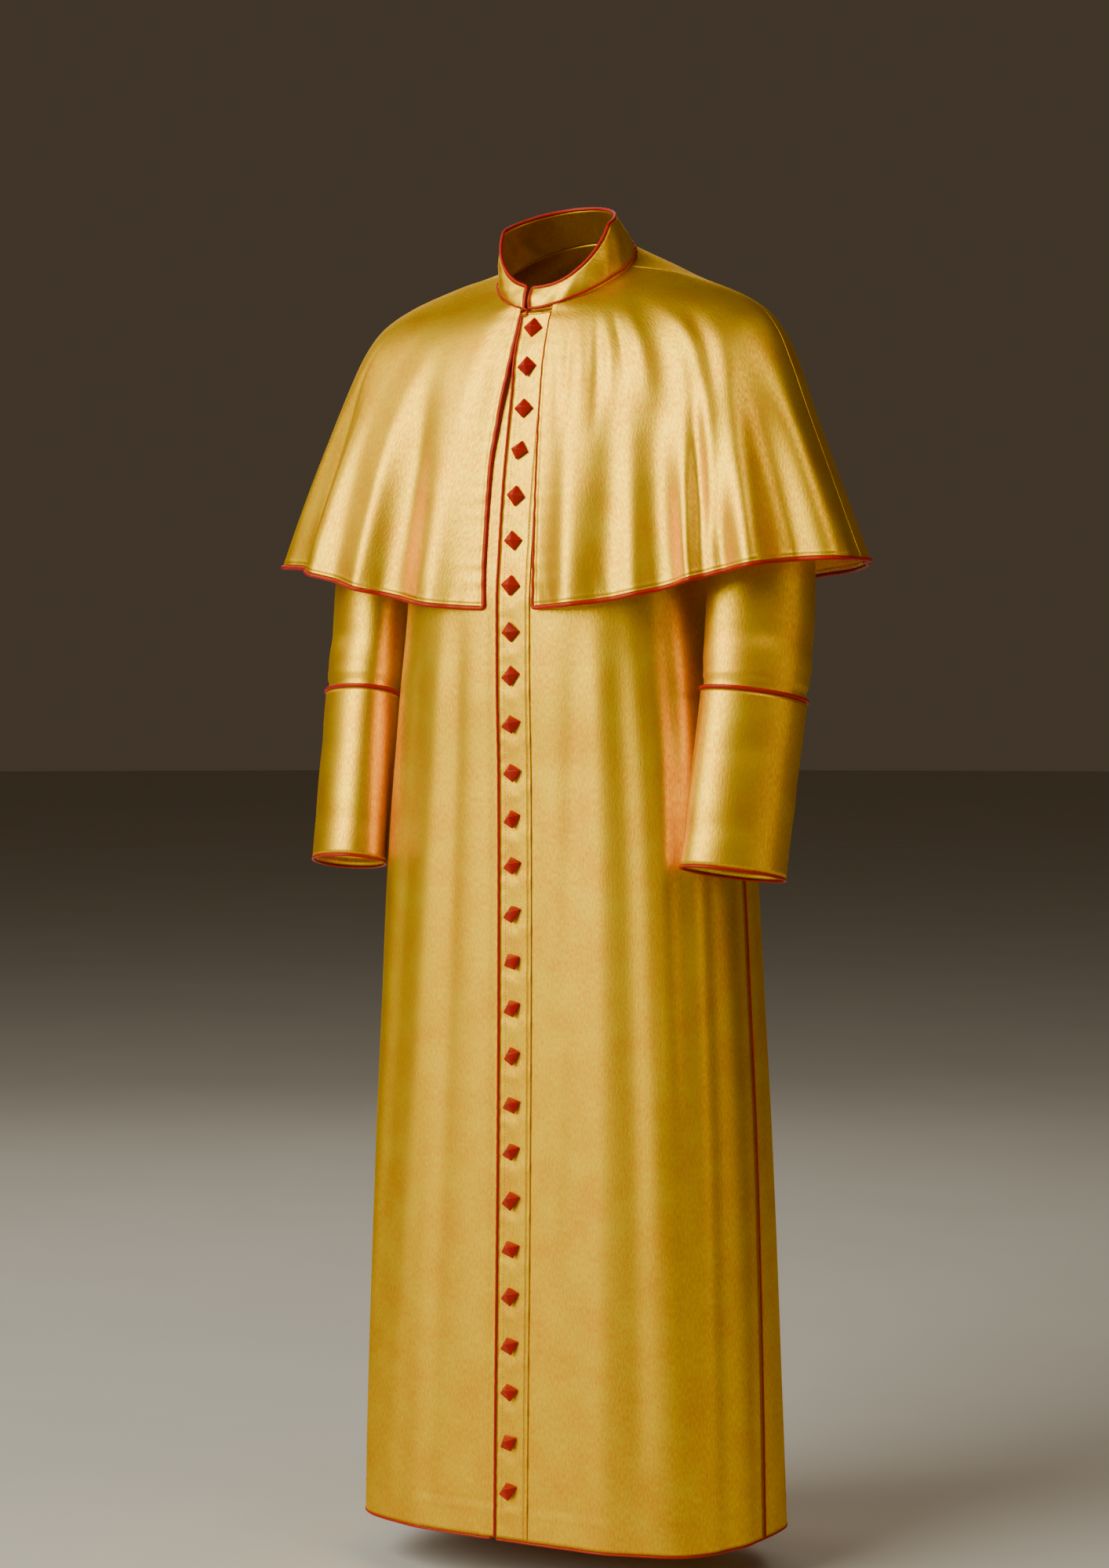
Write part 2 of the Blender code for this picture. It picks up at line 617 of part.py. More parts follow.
def make_collar():
    """The collar, the piping on its edge and ends, the piping at its base and the closing loop."""
    places = []
    for station in COLLAR_STATIONS:
        ring = COLLAR.ring(station)
        first, last = ring.place_of(COLLAR_FROM), 4 + ring.place_of(COLLAR_TO)
        places.append(np.linspace(first, last, COLLAR_COLUMNS))
    collar = COLLAR.grid(COLLAR_STATIONS, places)
    add_cloth("collar", collar, COLLAR_WALL)
    first = collar.edge("first", COLLAR_PIPING, COLLAR_WALL)
    top = collar.edge("high", COLLAR_PIPING, COLLAR_WALL)
    last = collar.edge("last", COLLAR_PIPING, COLLAR_WALL)
    corners = []
    for spot, ends in ((collar.points[-1, 0], (first, top[0])), (collar.points[-1, -1], (last, top[-1]))):
        middle = (ends[0][-1] + ends[1]) / 2
        corners.append(middle + unit(middle - spot) * COLLAR_CORNER)
    path = np.concatenate([first, corners[:1], top, corners[1:], last[::-1]])
    add_tube("piping_collar", path, COLLAR_PIPING)
    rise = unit(collar.points[1] - collar.points[0]) * NECK_PIPING_RISE
    neck = collar.points[0] + rise + collar.normals[0] * (NECK_PIPING + 2 * SEAM_GAP)
    add_tube("piping_neck", neck, NECK_PIPING)
    across, height = LOOP_PLACE
    front = min(first[:, 1].min(), neck[:, 1].min()) - LOOP_CORD - LOOP_SEAT
    turns = np.arange(LOOP_POINTS) * 2 * math.pi / LOOP_POINTS
    loop = [
        (across + LOOP_RADIUS * math.cos(t), front, height + LOOP_RADIUS * math.sin(t)) for t in turns
    ]
    add_tube("collar_loop", loop, LOOP_CORD, True)


def make_cape():
    """The two cape fronts, the cape back and the cord round their edges."""
    keys = [row[0] for row in CAPE_EDGES]
    left_places, right_places, far_places = [], [], []
    for station in CAPE_STATIONS:
        ring = CAPE.ring(station)
        right_edge = float(smooth_value(keys, [row[1] for row in CAPE_EDGES], station))
        left_edge = float(smooth_value(keys, [row[2] for row in CAPE_EDGES], station))
        side = 1 - SEAM_GAP / 2 / ring.front_length
        left_places.append(np.linspace(ring.place_of(left_edge), side, CAPE_FRONT_COLUMNS))
        right_places.append(np.linspace(-side, ring.place_of(right_edge), CAPE_FRONT_COLUMNS))
        far = 1 + SEAM_GAP / 2 / ring.back_length
        far_places.append(np.linspace(far, 4 - far, CAPE_BACK_COLUMNS))
    left = CAPE.grid(CAPE_STATIONS, left_places)
    right = CAPE.grid(CAPE_STATIONS, right_places)
    back = CAPE.grid(CAPE_STATIONS, far_places)
    add_cloth("cape_front_left", left, WALL)
    add_cloth("cape_front_right", right, WALL)
    add_cloth("cape_back", back, WALL)
    left_edge, left_hem = left.edge("first", CAPE_PIPING, WALL), left.edge("low", CAPE_PIPING, WALL)
    right_edge, right_hem = right.edge("last", CAPE_PIPING, WALL), right.edge("low", CAPE_PIPING, WALL)
    back_hem = back.edge("low", CAPE_PIPING, WALL)
    left_corner = left_edge[0] + left_hem[0] - left.moved(-WALL / 2).points[0, 0]
    right_corner = right_edge[0] + right_hem[-1] - right.moved(-WALL / 2).points[0, -1]
    path = np.concatenate(
        [
            left_edge[-2:0:-1],
            [(left_edge[0] + left_corner) / 2, (left_hem[0] + left_corner) / 2],
            left_hem[1:-1],
            [(left_hem[-1] + back_hem[0]) / 2],
            back_hem[1:-1],
            [(back_hem[-1] + right_hem[0]) / 2],
            right_hem[1:-1],
            [(right_hem[-1] + right_corner) / 2, (right_edge[0] + right_corner) / 2],
            right_edge[1:-1],
        ]
    )
    add_tube("piping_cape", path, CAPE_PIPING, sides=5)


def make_body_piping(left, right, back):
    """Cords on the front edge, the hem and the two side seams."""
    edge = left.edge("first", FRONT_PIPING, 0.0)
    edge[-1] += unit(edge[-2] - edge[-1]) * PLACKET_SHORT_TOP
    add_tube("piping_front", edge, FRONT_PIPING)
    left_hem, right_hem, back_hem = (sheet.edge("low", HEM_PIPING, WALL) for sheet in (left, right, back))
    left_hem[0] += unit(left_hem[1] - left_hem[0]) * SEAM_GAP
    flip = np.array([-1.0, 1.0, 1.0])
    right_hem = right_hem[right_hem[:, 0] < HEM_PIPING_LAP]
    path = np.concatenate([left_hem, back_hem[1:], (back_hem[::-1] * flip)[1:], right_hem[1:]])
    add_tube("piping_hem", path, HEM_PIPING)
    seam = (left.points[: ARMPIT_ROW + 1, -1] + back.points[: ARMPIT_ROW + 1, 0]) / 2
    path = seam + left.normals[: ARMPIT_ROW + 1, -1] * (SIDE_PIPING + SEAM_GAP)
    path[-1] += unit(path[-2] - path[-1]) * SIDE_PIPING_SHORT
    for name, way in (("left", 1.0), ("right", -1.0)):
        add_tube(f"piping_side_{name}", path * np.array([way, 1, 1]), SIDE_PIPING, sides=5)


def make_buttons(left):
    """Covered buttons, each a low pyramid standing on its point, down the band."""
    column = left.points[::-1, 2]
    normals = left.normals[::-1, 2]
    for number, height in enumerate(BUTTON_HEIGHTS, 1):
        spot, out = (
            np.array([np.interp(-height, -column[:, 2], line[:, i]) for i in range(3)])
            for line in (column, normals)
        )
        out = unit(out)
        up = unit(np.array([0.0, 0.0, 1.0]) - out * out[2])
        across = np.cross(up, out)
        middle = spot + across * (BUTTON_ACROSS - PLACKET_MIDDLE) + out * (PLACKET_WALL + BUTTON_LIFT)
        base = [middle + way * BUTTON_HALF for way in (across, up, -across, -up)]
        points = base + [spot + out * BUTTON_EDGE for spot in base] + [middle + out * BUTTON_RISE]
        faces = [(0, 1, 2), (0, 2, 3)]
        for k in range(4):
            n = (k + 1) % 4
            faces += [(k, 4 + n, n), (k, 4 + k, 4 + n), (4 + k, 8, 4 + n)]
        add_solid(f"button_{number:02d}", points, faces, RED_SATIN)


def main():
    for thing in list(bpy.data.objects):
        bpy.data.objects.remove(thing)
    left, right, back = make_panels()
    make_sleeves(left, back)
    make_collar()
    make_cape()
    make_body_piping(left, right, back)
    make_buttons(left)


main()
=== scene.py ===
"""Looks of a gold satin cassock with a shoulder cape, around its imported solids.

Metres, +Z up, front to -Y, the wearer's left to +X. The origin is the middle of the collar base. The
cloth forms are the ones that the solids follow, read on a finer grid and with their small creases.
"""

from __future__ import annotations

import logging
import math
from dataclasses import dataclass, field
from enum import Enum
from typing import Callable, Sequence

import bpy
import numpy as np
from mathutils import Matrix, Vector

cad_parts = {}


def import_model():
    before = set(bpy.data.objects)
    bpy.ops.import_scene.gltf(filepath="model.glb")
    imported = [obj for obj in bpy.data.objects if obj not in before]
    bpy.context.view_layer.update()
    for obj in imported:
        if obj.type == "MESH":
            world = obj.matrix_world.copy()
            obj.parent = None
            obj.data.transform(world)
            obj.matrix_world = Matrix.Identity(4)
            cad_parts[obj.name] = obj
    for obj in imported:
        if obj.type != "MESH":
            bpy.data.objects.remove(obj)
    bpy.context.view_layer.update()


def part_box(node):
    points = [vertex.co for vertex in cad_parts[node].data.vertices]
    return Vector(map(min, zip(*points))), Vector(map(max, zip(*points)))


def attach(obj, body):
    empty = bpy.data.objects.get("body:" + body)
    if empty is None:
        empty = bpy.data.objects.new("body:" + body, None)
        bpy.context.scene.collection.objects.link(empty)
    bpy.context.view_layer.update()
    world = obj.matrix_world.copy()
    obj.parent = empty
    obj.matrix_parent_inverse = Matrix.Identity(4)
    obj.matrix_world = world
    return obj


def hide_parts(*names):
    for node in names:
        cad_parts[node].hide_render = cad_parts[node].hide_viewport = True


log = logging.getLogger("cassock")

Rows = tuple[tuple[float, ...], ...]
Fold = Callable[[float, np.ndarray, np.ndarray], np.ndarray]

BODY = "root"
SEED = 11
BUTTON_COUNT = 26
MM = 0.001
TINY = 1e-12

WALL = 0.0012
SEAM_GAP = 0.0003
BODY_LINE_Y = 0.034
MIRROR_X = np.array([-1.0, 1.0, 1.0])

# Rings of the cloth: station, half width, middle, front and back depth, heights of the front, side and
# back, squareness of the front and back, and how fast the height goes from the side to the middle.
RING_COLUMNS = (
    "station", "half_width", "middle", "front_depth", "back_depth", "front_height", "side_height",
    "back_height", "front_squareness", "back_squareness", "dip",
)
BODY_RINGS: Rows = (
    (-1.366, 0.2421, 0.000, 0.1500, 0.2020, -1.390, -1.390, -1.390, 3.0, 2.1, 1.5),
    (-1.226, 0.2393, 0.000, 0.1478, 0.1860, -1.250, -1.250, -1.250, 3.0, 2.1, 1.5),
    (-1.076, 0.2354, 0.000, 0.1447, 0.1760, -1.100, -1.100, -1.100, 3.0, 2.1, 1.5),
    (-0.926, 0.2302, 0.000, 0.1422, 0.1690, -0.950, -0.950, -0.950, 3.0, 2.1, 1.5),
    (-0.776, 0.2225, 0.000, 0.1405, 0.1660, -0.800, -0.800, -0.800, 3.0, 2.1, 1.5),
    (-0.626, 0.2142, 0.000, 0.1400, 0.1630, -0.650, -0.650, -0.650, 3.0, 2.1, 1.5),
    (-0.526, 0.2050, 0.000, 0.1405, 0.1600, -0.550, -0.550, -0.550, 3.0, 2.1, 1.5),
    (-0.426, 0.1925, 0.000, 0.1435, 0.1570, -0.450, -0.450, -0.450, 3.0, 2.1, 1.5),
    (-0.336, 0.1810, 0.000, 0.1440, 0.1550, -0.360, -0.360, -0.360, 3.0, 2.2, 1.5),
    (-0.276, 0.1780, 0.000, 0.1390, 0.1540, -0.302, -0.300, -0.300, 2.8, 2.2, 1.5),
    (-0.176, 0.1830, -0.001, 0.1290, 0.1480, -0.228, -0.200, -0.205, 2.6, 2.2, 1.5),
    (-0.096, 0.1900, -0.003, 0.1150, 0.1370, -0.160, -0.120, -0.130, 2.4, 2.2, 1.5),
    (-0.036, 0.1970, -0.005, 0.1050, 0.1230, -0.118, -0.060, -0.075, 2.3, 2.2, 1.5),
    (0.000, 0.1990, -0.006, 0.1020, 0.1130, -0.098, -0.026, -0.045, 2.3, 2.2, 1.4),
    (0.039, 0.1640, -0.007, 0.0960, 0.0960, -0.078, -0.010, 0.000, 2.2, 2.1, 1.3),
    (0.080, 0.1250, -0.008, 0.0870, 0.0820, -0.056, 0.003, 0.030, 2.1, 2.0, 1.1),
    (0.128, 0.0780, -0.010, 0.0790, 0.0660, -0.036, 0.012, 0.054, 2.0, 2.0, 1.0),
)
CAPE_RINGS: Rows = (
    (0.000, 0.0787, -0.010, 0.0812, 0.0677, -0.0310, 0.0170, 0.0590, 2.0, 2.0, 1.0),
    (0.050, 0.1270, -0.009, 0.0930, 0.0880, -0.0550, 0.0090, 0.0360, 2.1, 2.0, 1.1),
    (0.090, 0.1670, -0.008, 0.1035, 0.1045, -0.0820, -0.0025, 0.0050, 2.2, 2.1, 1.3),
    (0.130, 0.2050, -0.008, 0.1115, 0.1210, -0.1120, -0.0165, -0.0330, 2.3, 2.2, 1.4),
    (0.170, 0.2400, -0.009, 0.1170, 0.1370, -0.1480, -0.0370, -0.0720, 2.3, 2.2, 1.5),
    (0.200, 0.2600, -0.010, 0.1200, 0.1470, -0.1780, -0.0620, -0.1080, 2.3, 2.2, 1.6),
    (0.240, 0.2765, -0.012, 0.1220, 0.1600, -0.2100, -0.0980, -0.1490, 2.3, 2.2, 1.8),
    (0.300, 0.2985, -0.014, 0.1250, 0.1730, -0.2550, -0.1550, -0.2080, 2.4, 2.2, 2.0),
    (0.370, 0.3270, -0.014, 0.1300, 0.1850, -0.3050, -0.2260, -0.2720, 2.5, 2.2, 2.4),
    (0.460, 0.3600, -0.012, 0.1370, 0.2030, -0.3620, -0.3100, -0.3540, 2.5, 2.2, 5.0),
)
COLLAR_RINGS: Rows = (
    (0.0, 0.0776, -0.010, 0.0786, 0.0656, -0.0354, 0.0126, 0.0546, 2.0, 2.0, 1.0),
    (1.0, 0.0690, -0.0410, 0.0410, 0.0640, -0.0100, 0.0590, 0.0880, 2.0, 2.0, 1.0),
)


def smooth_value(keys: Sequence[float], values: Sequence[float], at: float | np.ndarray) -> np.ndarray:
    """Values of a table at other places, by a smooth curve that never passes its own rows.

    Args:
        keys: Rising places of the table's rows.
        values: The column's values at those places.
        at: The places to read.

    Returns:
        The values at those places.
    """
    steps = np.diff(np.asarray(keys, float))
    values_array = np.asarray(values, float)
    slopes = np.diff(values_array) / steps
    tangents = np.zeros(len(keys))
    tangents[0], tangents[-1] = slopes[0], slopes[-1]
    for i in range(1, len(keys) - 1):
        if slopes[i - 1] * slopes[i] > 0:
            first = 2 * steps[i] + steps[i - 1]
            second = steps[i] + 2 * steps[i - 1]
            tangents[i] = (first + second) / (first / slopes[i - 1] + second / slopes[i])
    at = np.clip(np.asarray(at, float), keys[0], keys[-1])
    spot = np.clip(np.searchsorted(keys, at) - 1, 0, len(steps) - 1)
    step = steps[spot]
    part = (at - np.asarray(keys)[spot]) / step
    return (
        (1 + 2 * part) * (1 - part) ** 2 * values_array[spot]
        + part * (1 - part) ** 2 * step * tangents[spot]
        + part**2 * (3 - 2 * part) * values_array[spot + 1]
        + part**2 * (part - 1) * step * tangents[spot + 1]
    )


def unit(vectors: np.ndarray) -> np.ndarray:
    """The same vectors with length one."""
    return vectors / np.maximum(np.linalg.norm(vectors, axis=-1, keepdims=True), TINY)


def soft_step(value: np.ndarray | float) -> np.ndarray:
    """Goes softly from 0 to 1 as the value does."""
    value = np.clip(value, 0, 1)
    return value * value * (3 - 2 * value)


def bell(value: np.ndarray, middle: float, width: float) -> np.ndarray:
    """A soft hill of height one."""
    return np.exp(-(((value - middle) / width) ** 2))


def between(pair: tuple[float, float], part: np.ndarray) -> np.ndarray:
    """Values part of the way from one number to the other."""
    return pair[0] + (pair[1] - pair[0]) * part


def wrapped(places: np.ndarray) -> np.ndarray:
    """Places round a ring with the wearer's right side as negative ones."""
    return np.where(places > 2, places - 4, places)


def path_lengths(path: np.ndarray) -> np.ndarray:
    """How far along a path each of its points lies."""
    return np.concatenate([[0], np.cumsum(np.linalg.norm(np.diff(path, axis=0), axis=1))])


def read_columns(at: np.ndarray | float, keys: np.ndarray, table: np.ndarray) -> np.ndarray:
    """The columns of a table at other keys, read straight between its rows."""
    return np.stack([np.interp(at, keys, column) for column in table.T], axis=-1)


class Ring:
    """A loop of cloth at one station, read by the way round it from the front middle."""

    ANGLE_COUNT = 121

    def __init__(self, table: Rows, station: float) -> None:
        """Reads the sizes of this station and measures the way round.

        Args:
            table: The form's rings.
            station: The place along the form.
        """
        keys = [row[0] for row in table]
        self.sizes = {
            name: float(smooth_value(keys, [row[i] for row in table], station))
            for i, name in enumerate(RING_COLUMNS)
        }
        self.angles = (1 - np.cos(np.linspace(0, math.pi, self.ANGLE_COUNT))) * math.pi / 4
        self.ways = []
        for side in ("front", "back"):
            power = 2 / self.sizes[side + "_squareness"]
            across = self.sizes["half_width"] * np.sin(self.angles) ** power
            along = self.sizes[side + "_depth"] * np.cos(self.angles) ** power
            lengths = np.hypot(np.diff(across), np.diff(along))
            self.ways.append(np.concatenate([[0], np.cumsum(lengths)]))
        self.front_length = float(self.ways[0][-1])
        self.back_length = float(self.ways[1][-1])

    def place_of(self, way: float) -> float:
        """A way in metres from the front middle, as a place (1 is the side, 2 the back middle)."""
        return way / self.front_length

    def points(self, places: np.ndarray) -> np.ndarray:
        """Points at places round the ring.

        Args:
            places: 0 is the front middle, 1 the side and 2 the back middle. Negative places are on
                the wearer's right.

        Returns:
            One point for each place.
        """
        places = wrapped(places)
        side = np.where(places < 0, -1.0, 1.0)
        part = np.abs(places)
        front = part <= 1
        angle = np.where(
            front,
            np.interp(part * self.front_length, self.ways[0], self.angles),
            np.interp((2 - part) * self.back_length, self.ways[1], self.angles),
        )
        sizes = self.sizes
        power = 2 / np.where(front, sizes["front_squareness"], sizes["back_squareness"])
        depth = np.where(front, -sizes["front_depth"], sizes["back_depth"])
        end_height = np.where(front, sizes["front_height"], sizes["back_height"])
        x = side * sizes["half_width"] * np.sin(angle) ** power
        y = sizes["middle"] + depth * np.cos(angle) ** power + BODY_LINE_Y
        rise = (end_height - sizes["side_height"]) * np.cos(angle) ** sizes["dip"]
        return np.stack([x, y, sizes["side_height"] + rise], axis=-1)


@dataclass
class Sheet:
    """A grid of points on cloth, its outward directions and its flat measures in metres."""

    points: np.ndarray
    wraps: bool = False
    outward: float = 1.0
    normals: np.ndarray = field(init=False)

    def __post_init__(self) -> None:
        """Works out the outward directions from the grid."""
        if self.wraps:
            along = np.roll(self.points, -1, axis=1) - np.roll(self.points, 1, axis=1)
        else:
            along = np.gradient(self.points, axis=1)
        self.normals = unit(np.cross(along, np.gradient(self.points, axis=0))) * self.outward

    def moved(self, distance: float | np.ndarray) -> Sheet:
        """The sheet moved out along its outward directions.

        Args:
            distance: How far, for the whole sheet or for each point.

        Returns:
            The moved sheet.
        """
        distance = np.asarray(distance, float)
        if distance.ndim:
            distance = distance[..., None]
        return Sheet(self.points + self.normals * distance, self.wraps, self.outward)

    def mirrored(self) -> Sheet:
        """The same sheet on the other side of the wearer."""
        return Sheet(self.points[:, ::-1] * MIRROR_X, self.wraps, self.outward)

    def edge(self, edge: str, radius: float | np.ndarray, wall: float) -> np.ndarray:
        """A path just off one edge, level with the middle of the wall, for a cord of this radius.

        Args:
            edge: Which edge: low, high, first or last.
            radius: The cord's radius, or one radius for each point.
            wall: The cloth's thickness.

        Returns:
            The points of the path.
        """
        lines = {
            "low": (self.points[0], self.points[1], self.normals[0]),
            "high": (self.points[-1], self.points[-2], self.normals[-1]),
            "first": (self.points[:, 0], self.points[:, 1], self.normals[:, 0]),
            "last": (self.points[:, -1], self.points[:, -2], self.normals[:, -1]),
        }
        line, neighbour, normals = lines[edge]
        along = unit(np.gradient(line, axis=0))
        out = line - neighbour
        out = unit(out - along * np.sum(out * along, axis=1, keepdims=True))
        return line + out * np.reshape(radius + SEAM_GAP, (-1, 1)) - normals * wall / 2

    def closed(self) -> np.ndarray:
        """The points, with the first column again at the end where the sheet is a tube."""
        return np.concatenate([self.points, self.points[:, :1]], axis=1) if self.wraps else self.points

    def flat_uv(self) -> np.ndarray:
        """Flat measures of each point in metres, across and along the cloth, for its weave.

        Returns:
            The measures, with one more column where the sheet is a tube.
        """
        closed = self.closed()
        across = np.linalg.norm(np.diff(closed, axis=1), axis=2)
        across = np.concatenate([np.zeros((len(across), 1)), np.cumsum(across, axis=1)], axis=1)
        across -= across.mean(axis=1, keepdims=True)
        along = np.linalg.norm(np.diff(closed, axis=0), axis=2)
        along = np.concatenate([np.zeros((1, along.shape[1])), np.cumsum(along, axis=0)], axis=0)
        return np.stack([across, along], axis=-1)

    def size(self) -> tuple[float, float, float]:
        """Measures the flat cloth.

        Returns:
            Its widest width, its longest length and its area.
        """
        uv = self.flat_uv()
        width = float(np.ptp(uv[..., 0], axis=1).max())
        length = float(np.ptp(uv[..., 1], axis=0).max())
        closed = self.closed()
        first = np.cross(closed[1:, 1:] - closed[:-1, :-1], closed[1:, :-1] - closed[:-1, 1:])
        return width, length, float(np.linalg.norm(first, axis=2).sum() / 2)


class Form:
    """A smooth surface through rings, with a rule for how far folds move the cloth out."""

    PLACE_STEP = 0.004

    def __init__(self, table: Rows, fold: Fold) -> None:
        """Keeps the table and the fold rule.

        Args:
            table: The rings.
            fold: The distance out for a station, its places and its points.
        """
        self.table = table
        self.fold = fold

    def ring(self, station: float) -> Ring:
        """The ring at a station."""
        return Ring(self.table, station)

    def row(self, station: float, places: np.ndarray) -> np.ndarray:
        """Points of one row, with its folds.

        Args:
            station: The row's station.
            places: Its places round the ring.

        Returns:
            The points.
        """
        ring = self.ring(station)
        base = ring.points(places)
        along = ring.points(places + self.PLACE_STEP) - ring.points(places - self.PLACE_STEP)
        out = unit(np.cross(along, (0.0, 0.0, 1.0)))
        return base + out * self.fold(station, wrapped(places), base)[:, None]

    def sheet(self, stations: np.ndarray, places: list[np.ndarray]) -> Sheet:
        """A sheet on the form.

        Args:
            stations: The station of each row.
            places: The places of each row.

        Returns:
            The sheet, which faces away from the wearer.
        """
        rows = [self.row(float(station), row) for station, row in zip(stations, places)]
        side = RING_COLUMNS.index("side_height")
        climbs = self.table[-1][side] > self.table[0][side]
        outward = 1.0 if climbs == (stations[-1] > stations[0]) else -1.0
        return Sheet(np.array(rows), outward=outward)


# Folds of the body that the solids also have: place, width, height at the hem and where it starts.
BODY_FOLDS: Rows = (
    (0.36, 0.10, 0.0030, -0.40),
    (0.60, 0.09, 0.0040, -0.38),
    (0.80, 0.07, -0.0030, -0.38),
    (1.18, 0.09, 0.0060, -0.45),
    (1.40, 0.08, -0.0070, -0.50),
    (1.60, 0.10, 0.0110, -0.50),
    (1.82, 0.08, -0.0080, -0.50),
)
# Creases of the body as they hang: signed place, width, height, top, bottom, and how far the place
# moves on the way down. Negative places are on the wearer's right.
BODY_CREASES: Rows = (
    (0.130, 0.070, 0.0012, -0.30, -1.36, 0.190),
    (0.305, 0.048, -0.0019, -0.32, -1.10, -0.150),
    (0.370, 0.050, 0.0018, -0.34, -1.38, -0.020),
    (0.455, 0.045, -0.0021, -0.32, -1.30, 0.030),
    (0.525, 0.036, 0.0011, -0.34, -1.05, 0.020),
    (0.590, 0.034, 0.0019, -0.32, -0.90, 0.015),
    (0.650, 0.031, -0.0017, -0.32, -1.20, 0.010),
    (0.720, 0.034, 0.0012, -0.36, -1.38, 0.015),
    (0.790, 0.028, -0.0011, -0.50, -1.38, 0.000),
    (0.870, 0.034, 0.0011, -0.60, -1.38, 0.010),
    (0.945, 0.025, -0.0012, -0.55, -1.38, 0.000),
    (-0.150, 0.056, 0.0010, -0.30, -1.38, -0.030),
    (-0.235, 0.042, -0.0019, -0.32, -1.38, -0.080),
    (-0.310, 0.050, 0.0019, -0.32, -1.38, -0.190),
    (-0.430, 0.042, -0.0014, -0.34, -1.20, -0.160),
    (-0.560, 0.039, 0.0012, -0.34, -1.38, -0.100),
    (-0.680, 0.036, -0.0012, -0.36, -1.38, -0.060),
    (-0.800, 0.036, 0.0011, -0.40, -1.30, -0.020),
    (-0.910, 0.034, -0.0011, -0.36, -1.38, 0.000),
    (1.060, 0.042, 0.0016, -0.42, -1.38, 0.010),
    (1.290, 0.048, -0.0019, -0.40, -1.25, -0.040),
    (1.500, 0.048, 0.0018, -0.50, -1.38, 0.030),
    (1.720, 0.048, -0.0019, -0.42, -1.38, 0.020),
    (1.900, 0.042, 0.0016, -0.55, -1.30, 0.010),
    (-1.080, 0.045, -0.0016, -0.42, -1.30, -0.030),
    (-1.270, 0.048, 0.0019, -0.46, -1.38, 0.035),
    (-1.480, 0.045, -0.0018, -0.40, -1.38, 0.030),
    (-1.690, 0.048, 0.0019, -0.52, -1.25, -0.030),
    (-1.910, 0.042, -0.0016, -0.42, -1.38, 0.000),
)
CREASE_FADE = 0.16
# The share of its height that a crease has at its lower end, before the soft step.
CREASE_END = 0.5
HEM_HEIGHT = BODY_RINGS[0][6]
# How far in the wearer's right front edge of the cape lies, so that its cord rests on the body:
# station and distance. The tuck is full at this signed angle and fades over this width.
CAPE_TUCK_ANGLE = -13.5
CAPE_TUCK_WIDTH = 9.0
CAPE_EDGE_TUCK: Rows = (
    (0.00, 0.0020),
    (0.03, 0.0048),
    (0.06, 0.0060),
    (0.09, 0.0057),
    (0.13, 0.0072),
    (0.17, 0.0070),
    (0.21, 0.0052),
    (0.25, 0.0043),
    (0.30, 0.0038),
    (0.35, 0.0034),
    (0.40, 0.0030),
    (0.46, 0.0026),
)

# How fast a fold of the cape grows towards the hem.
CAPE_GROWTH = 0.8
# The cape's folds that the solids also have: angle, width in degrees, height at the hem, start station.
CAPE_FOLDS_LEFT: Rows = (
    (24.0, 9.0, 0.0060, 0.12),
    (39.0, 9.0, 0.0150, 0.10),
    (53.5, 5.5, -0.0190, 0.14),
    (59.0, 3.0, 0.0110, 0.17),
    (63.0, 3.0, -0.0100, 0.17),
    (67.5, 4.0, 0.0190, 0.17),
    (74.0, 4.0, -0.0150, 0.19),
    (80.5, 4.0, 0.0110, 0.19),
)
CAPE_FOLDS_RIGHT: Rows = (
    (35.0, 9.0, 0.0090, 0.12),
    (47.0, 6.0, -0.0140, 0.14),
    (57.5, 5.5, 0.0150, 0.15),
    (66.5, 3.0, 0.0100, 0.16),
    (74.0, 3.5, -0.0130, 0.18),
    (85.0, 5.0, 0.0100, 0.17),
)
CAPE_FOLDS_BACK: Rows = (
    (102.0, 6.0, -0.0090, 0.20),
    (116.0, 6.5, 0.0180, 0.19),
    (127.0, 5.0, -0.0110, 0.19),
    (137.0, 6.5, 0.0170, 0.17),
    (150.0, 6.0, -0.0110, 0.17),
    (165.0, 8.0, 0.0130, 0.16),
)
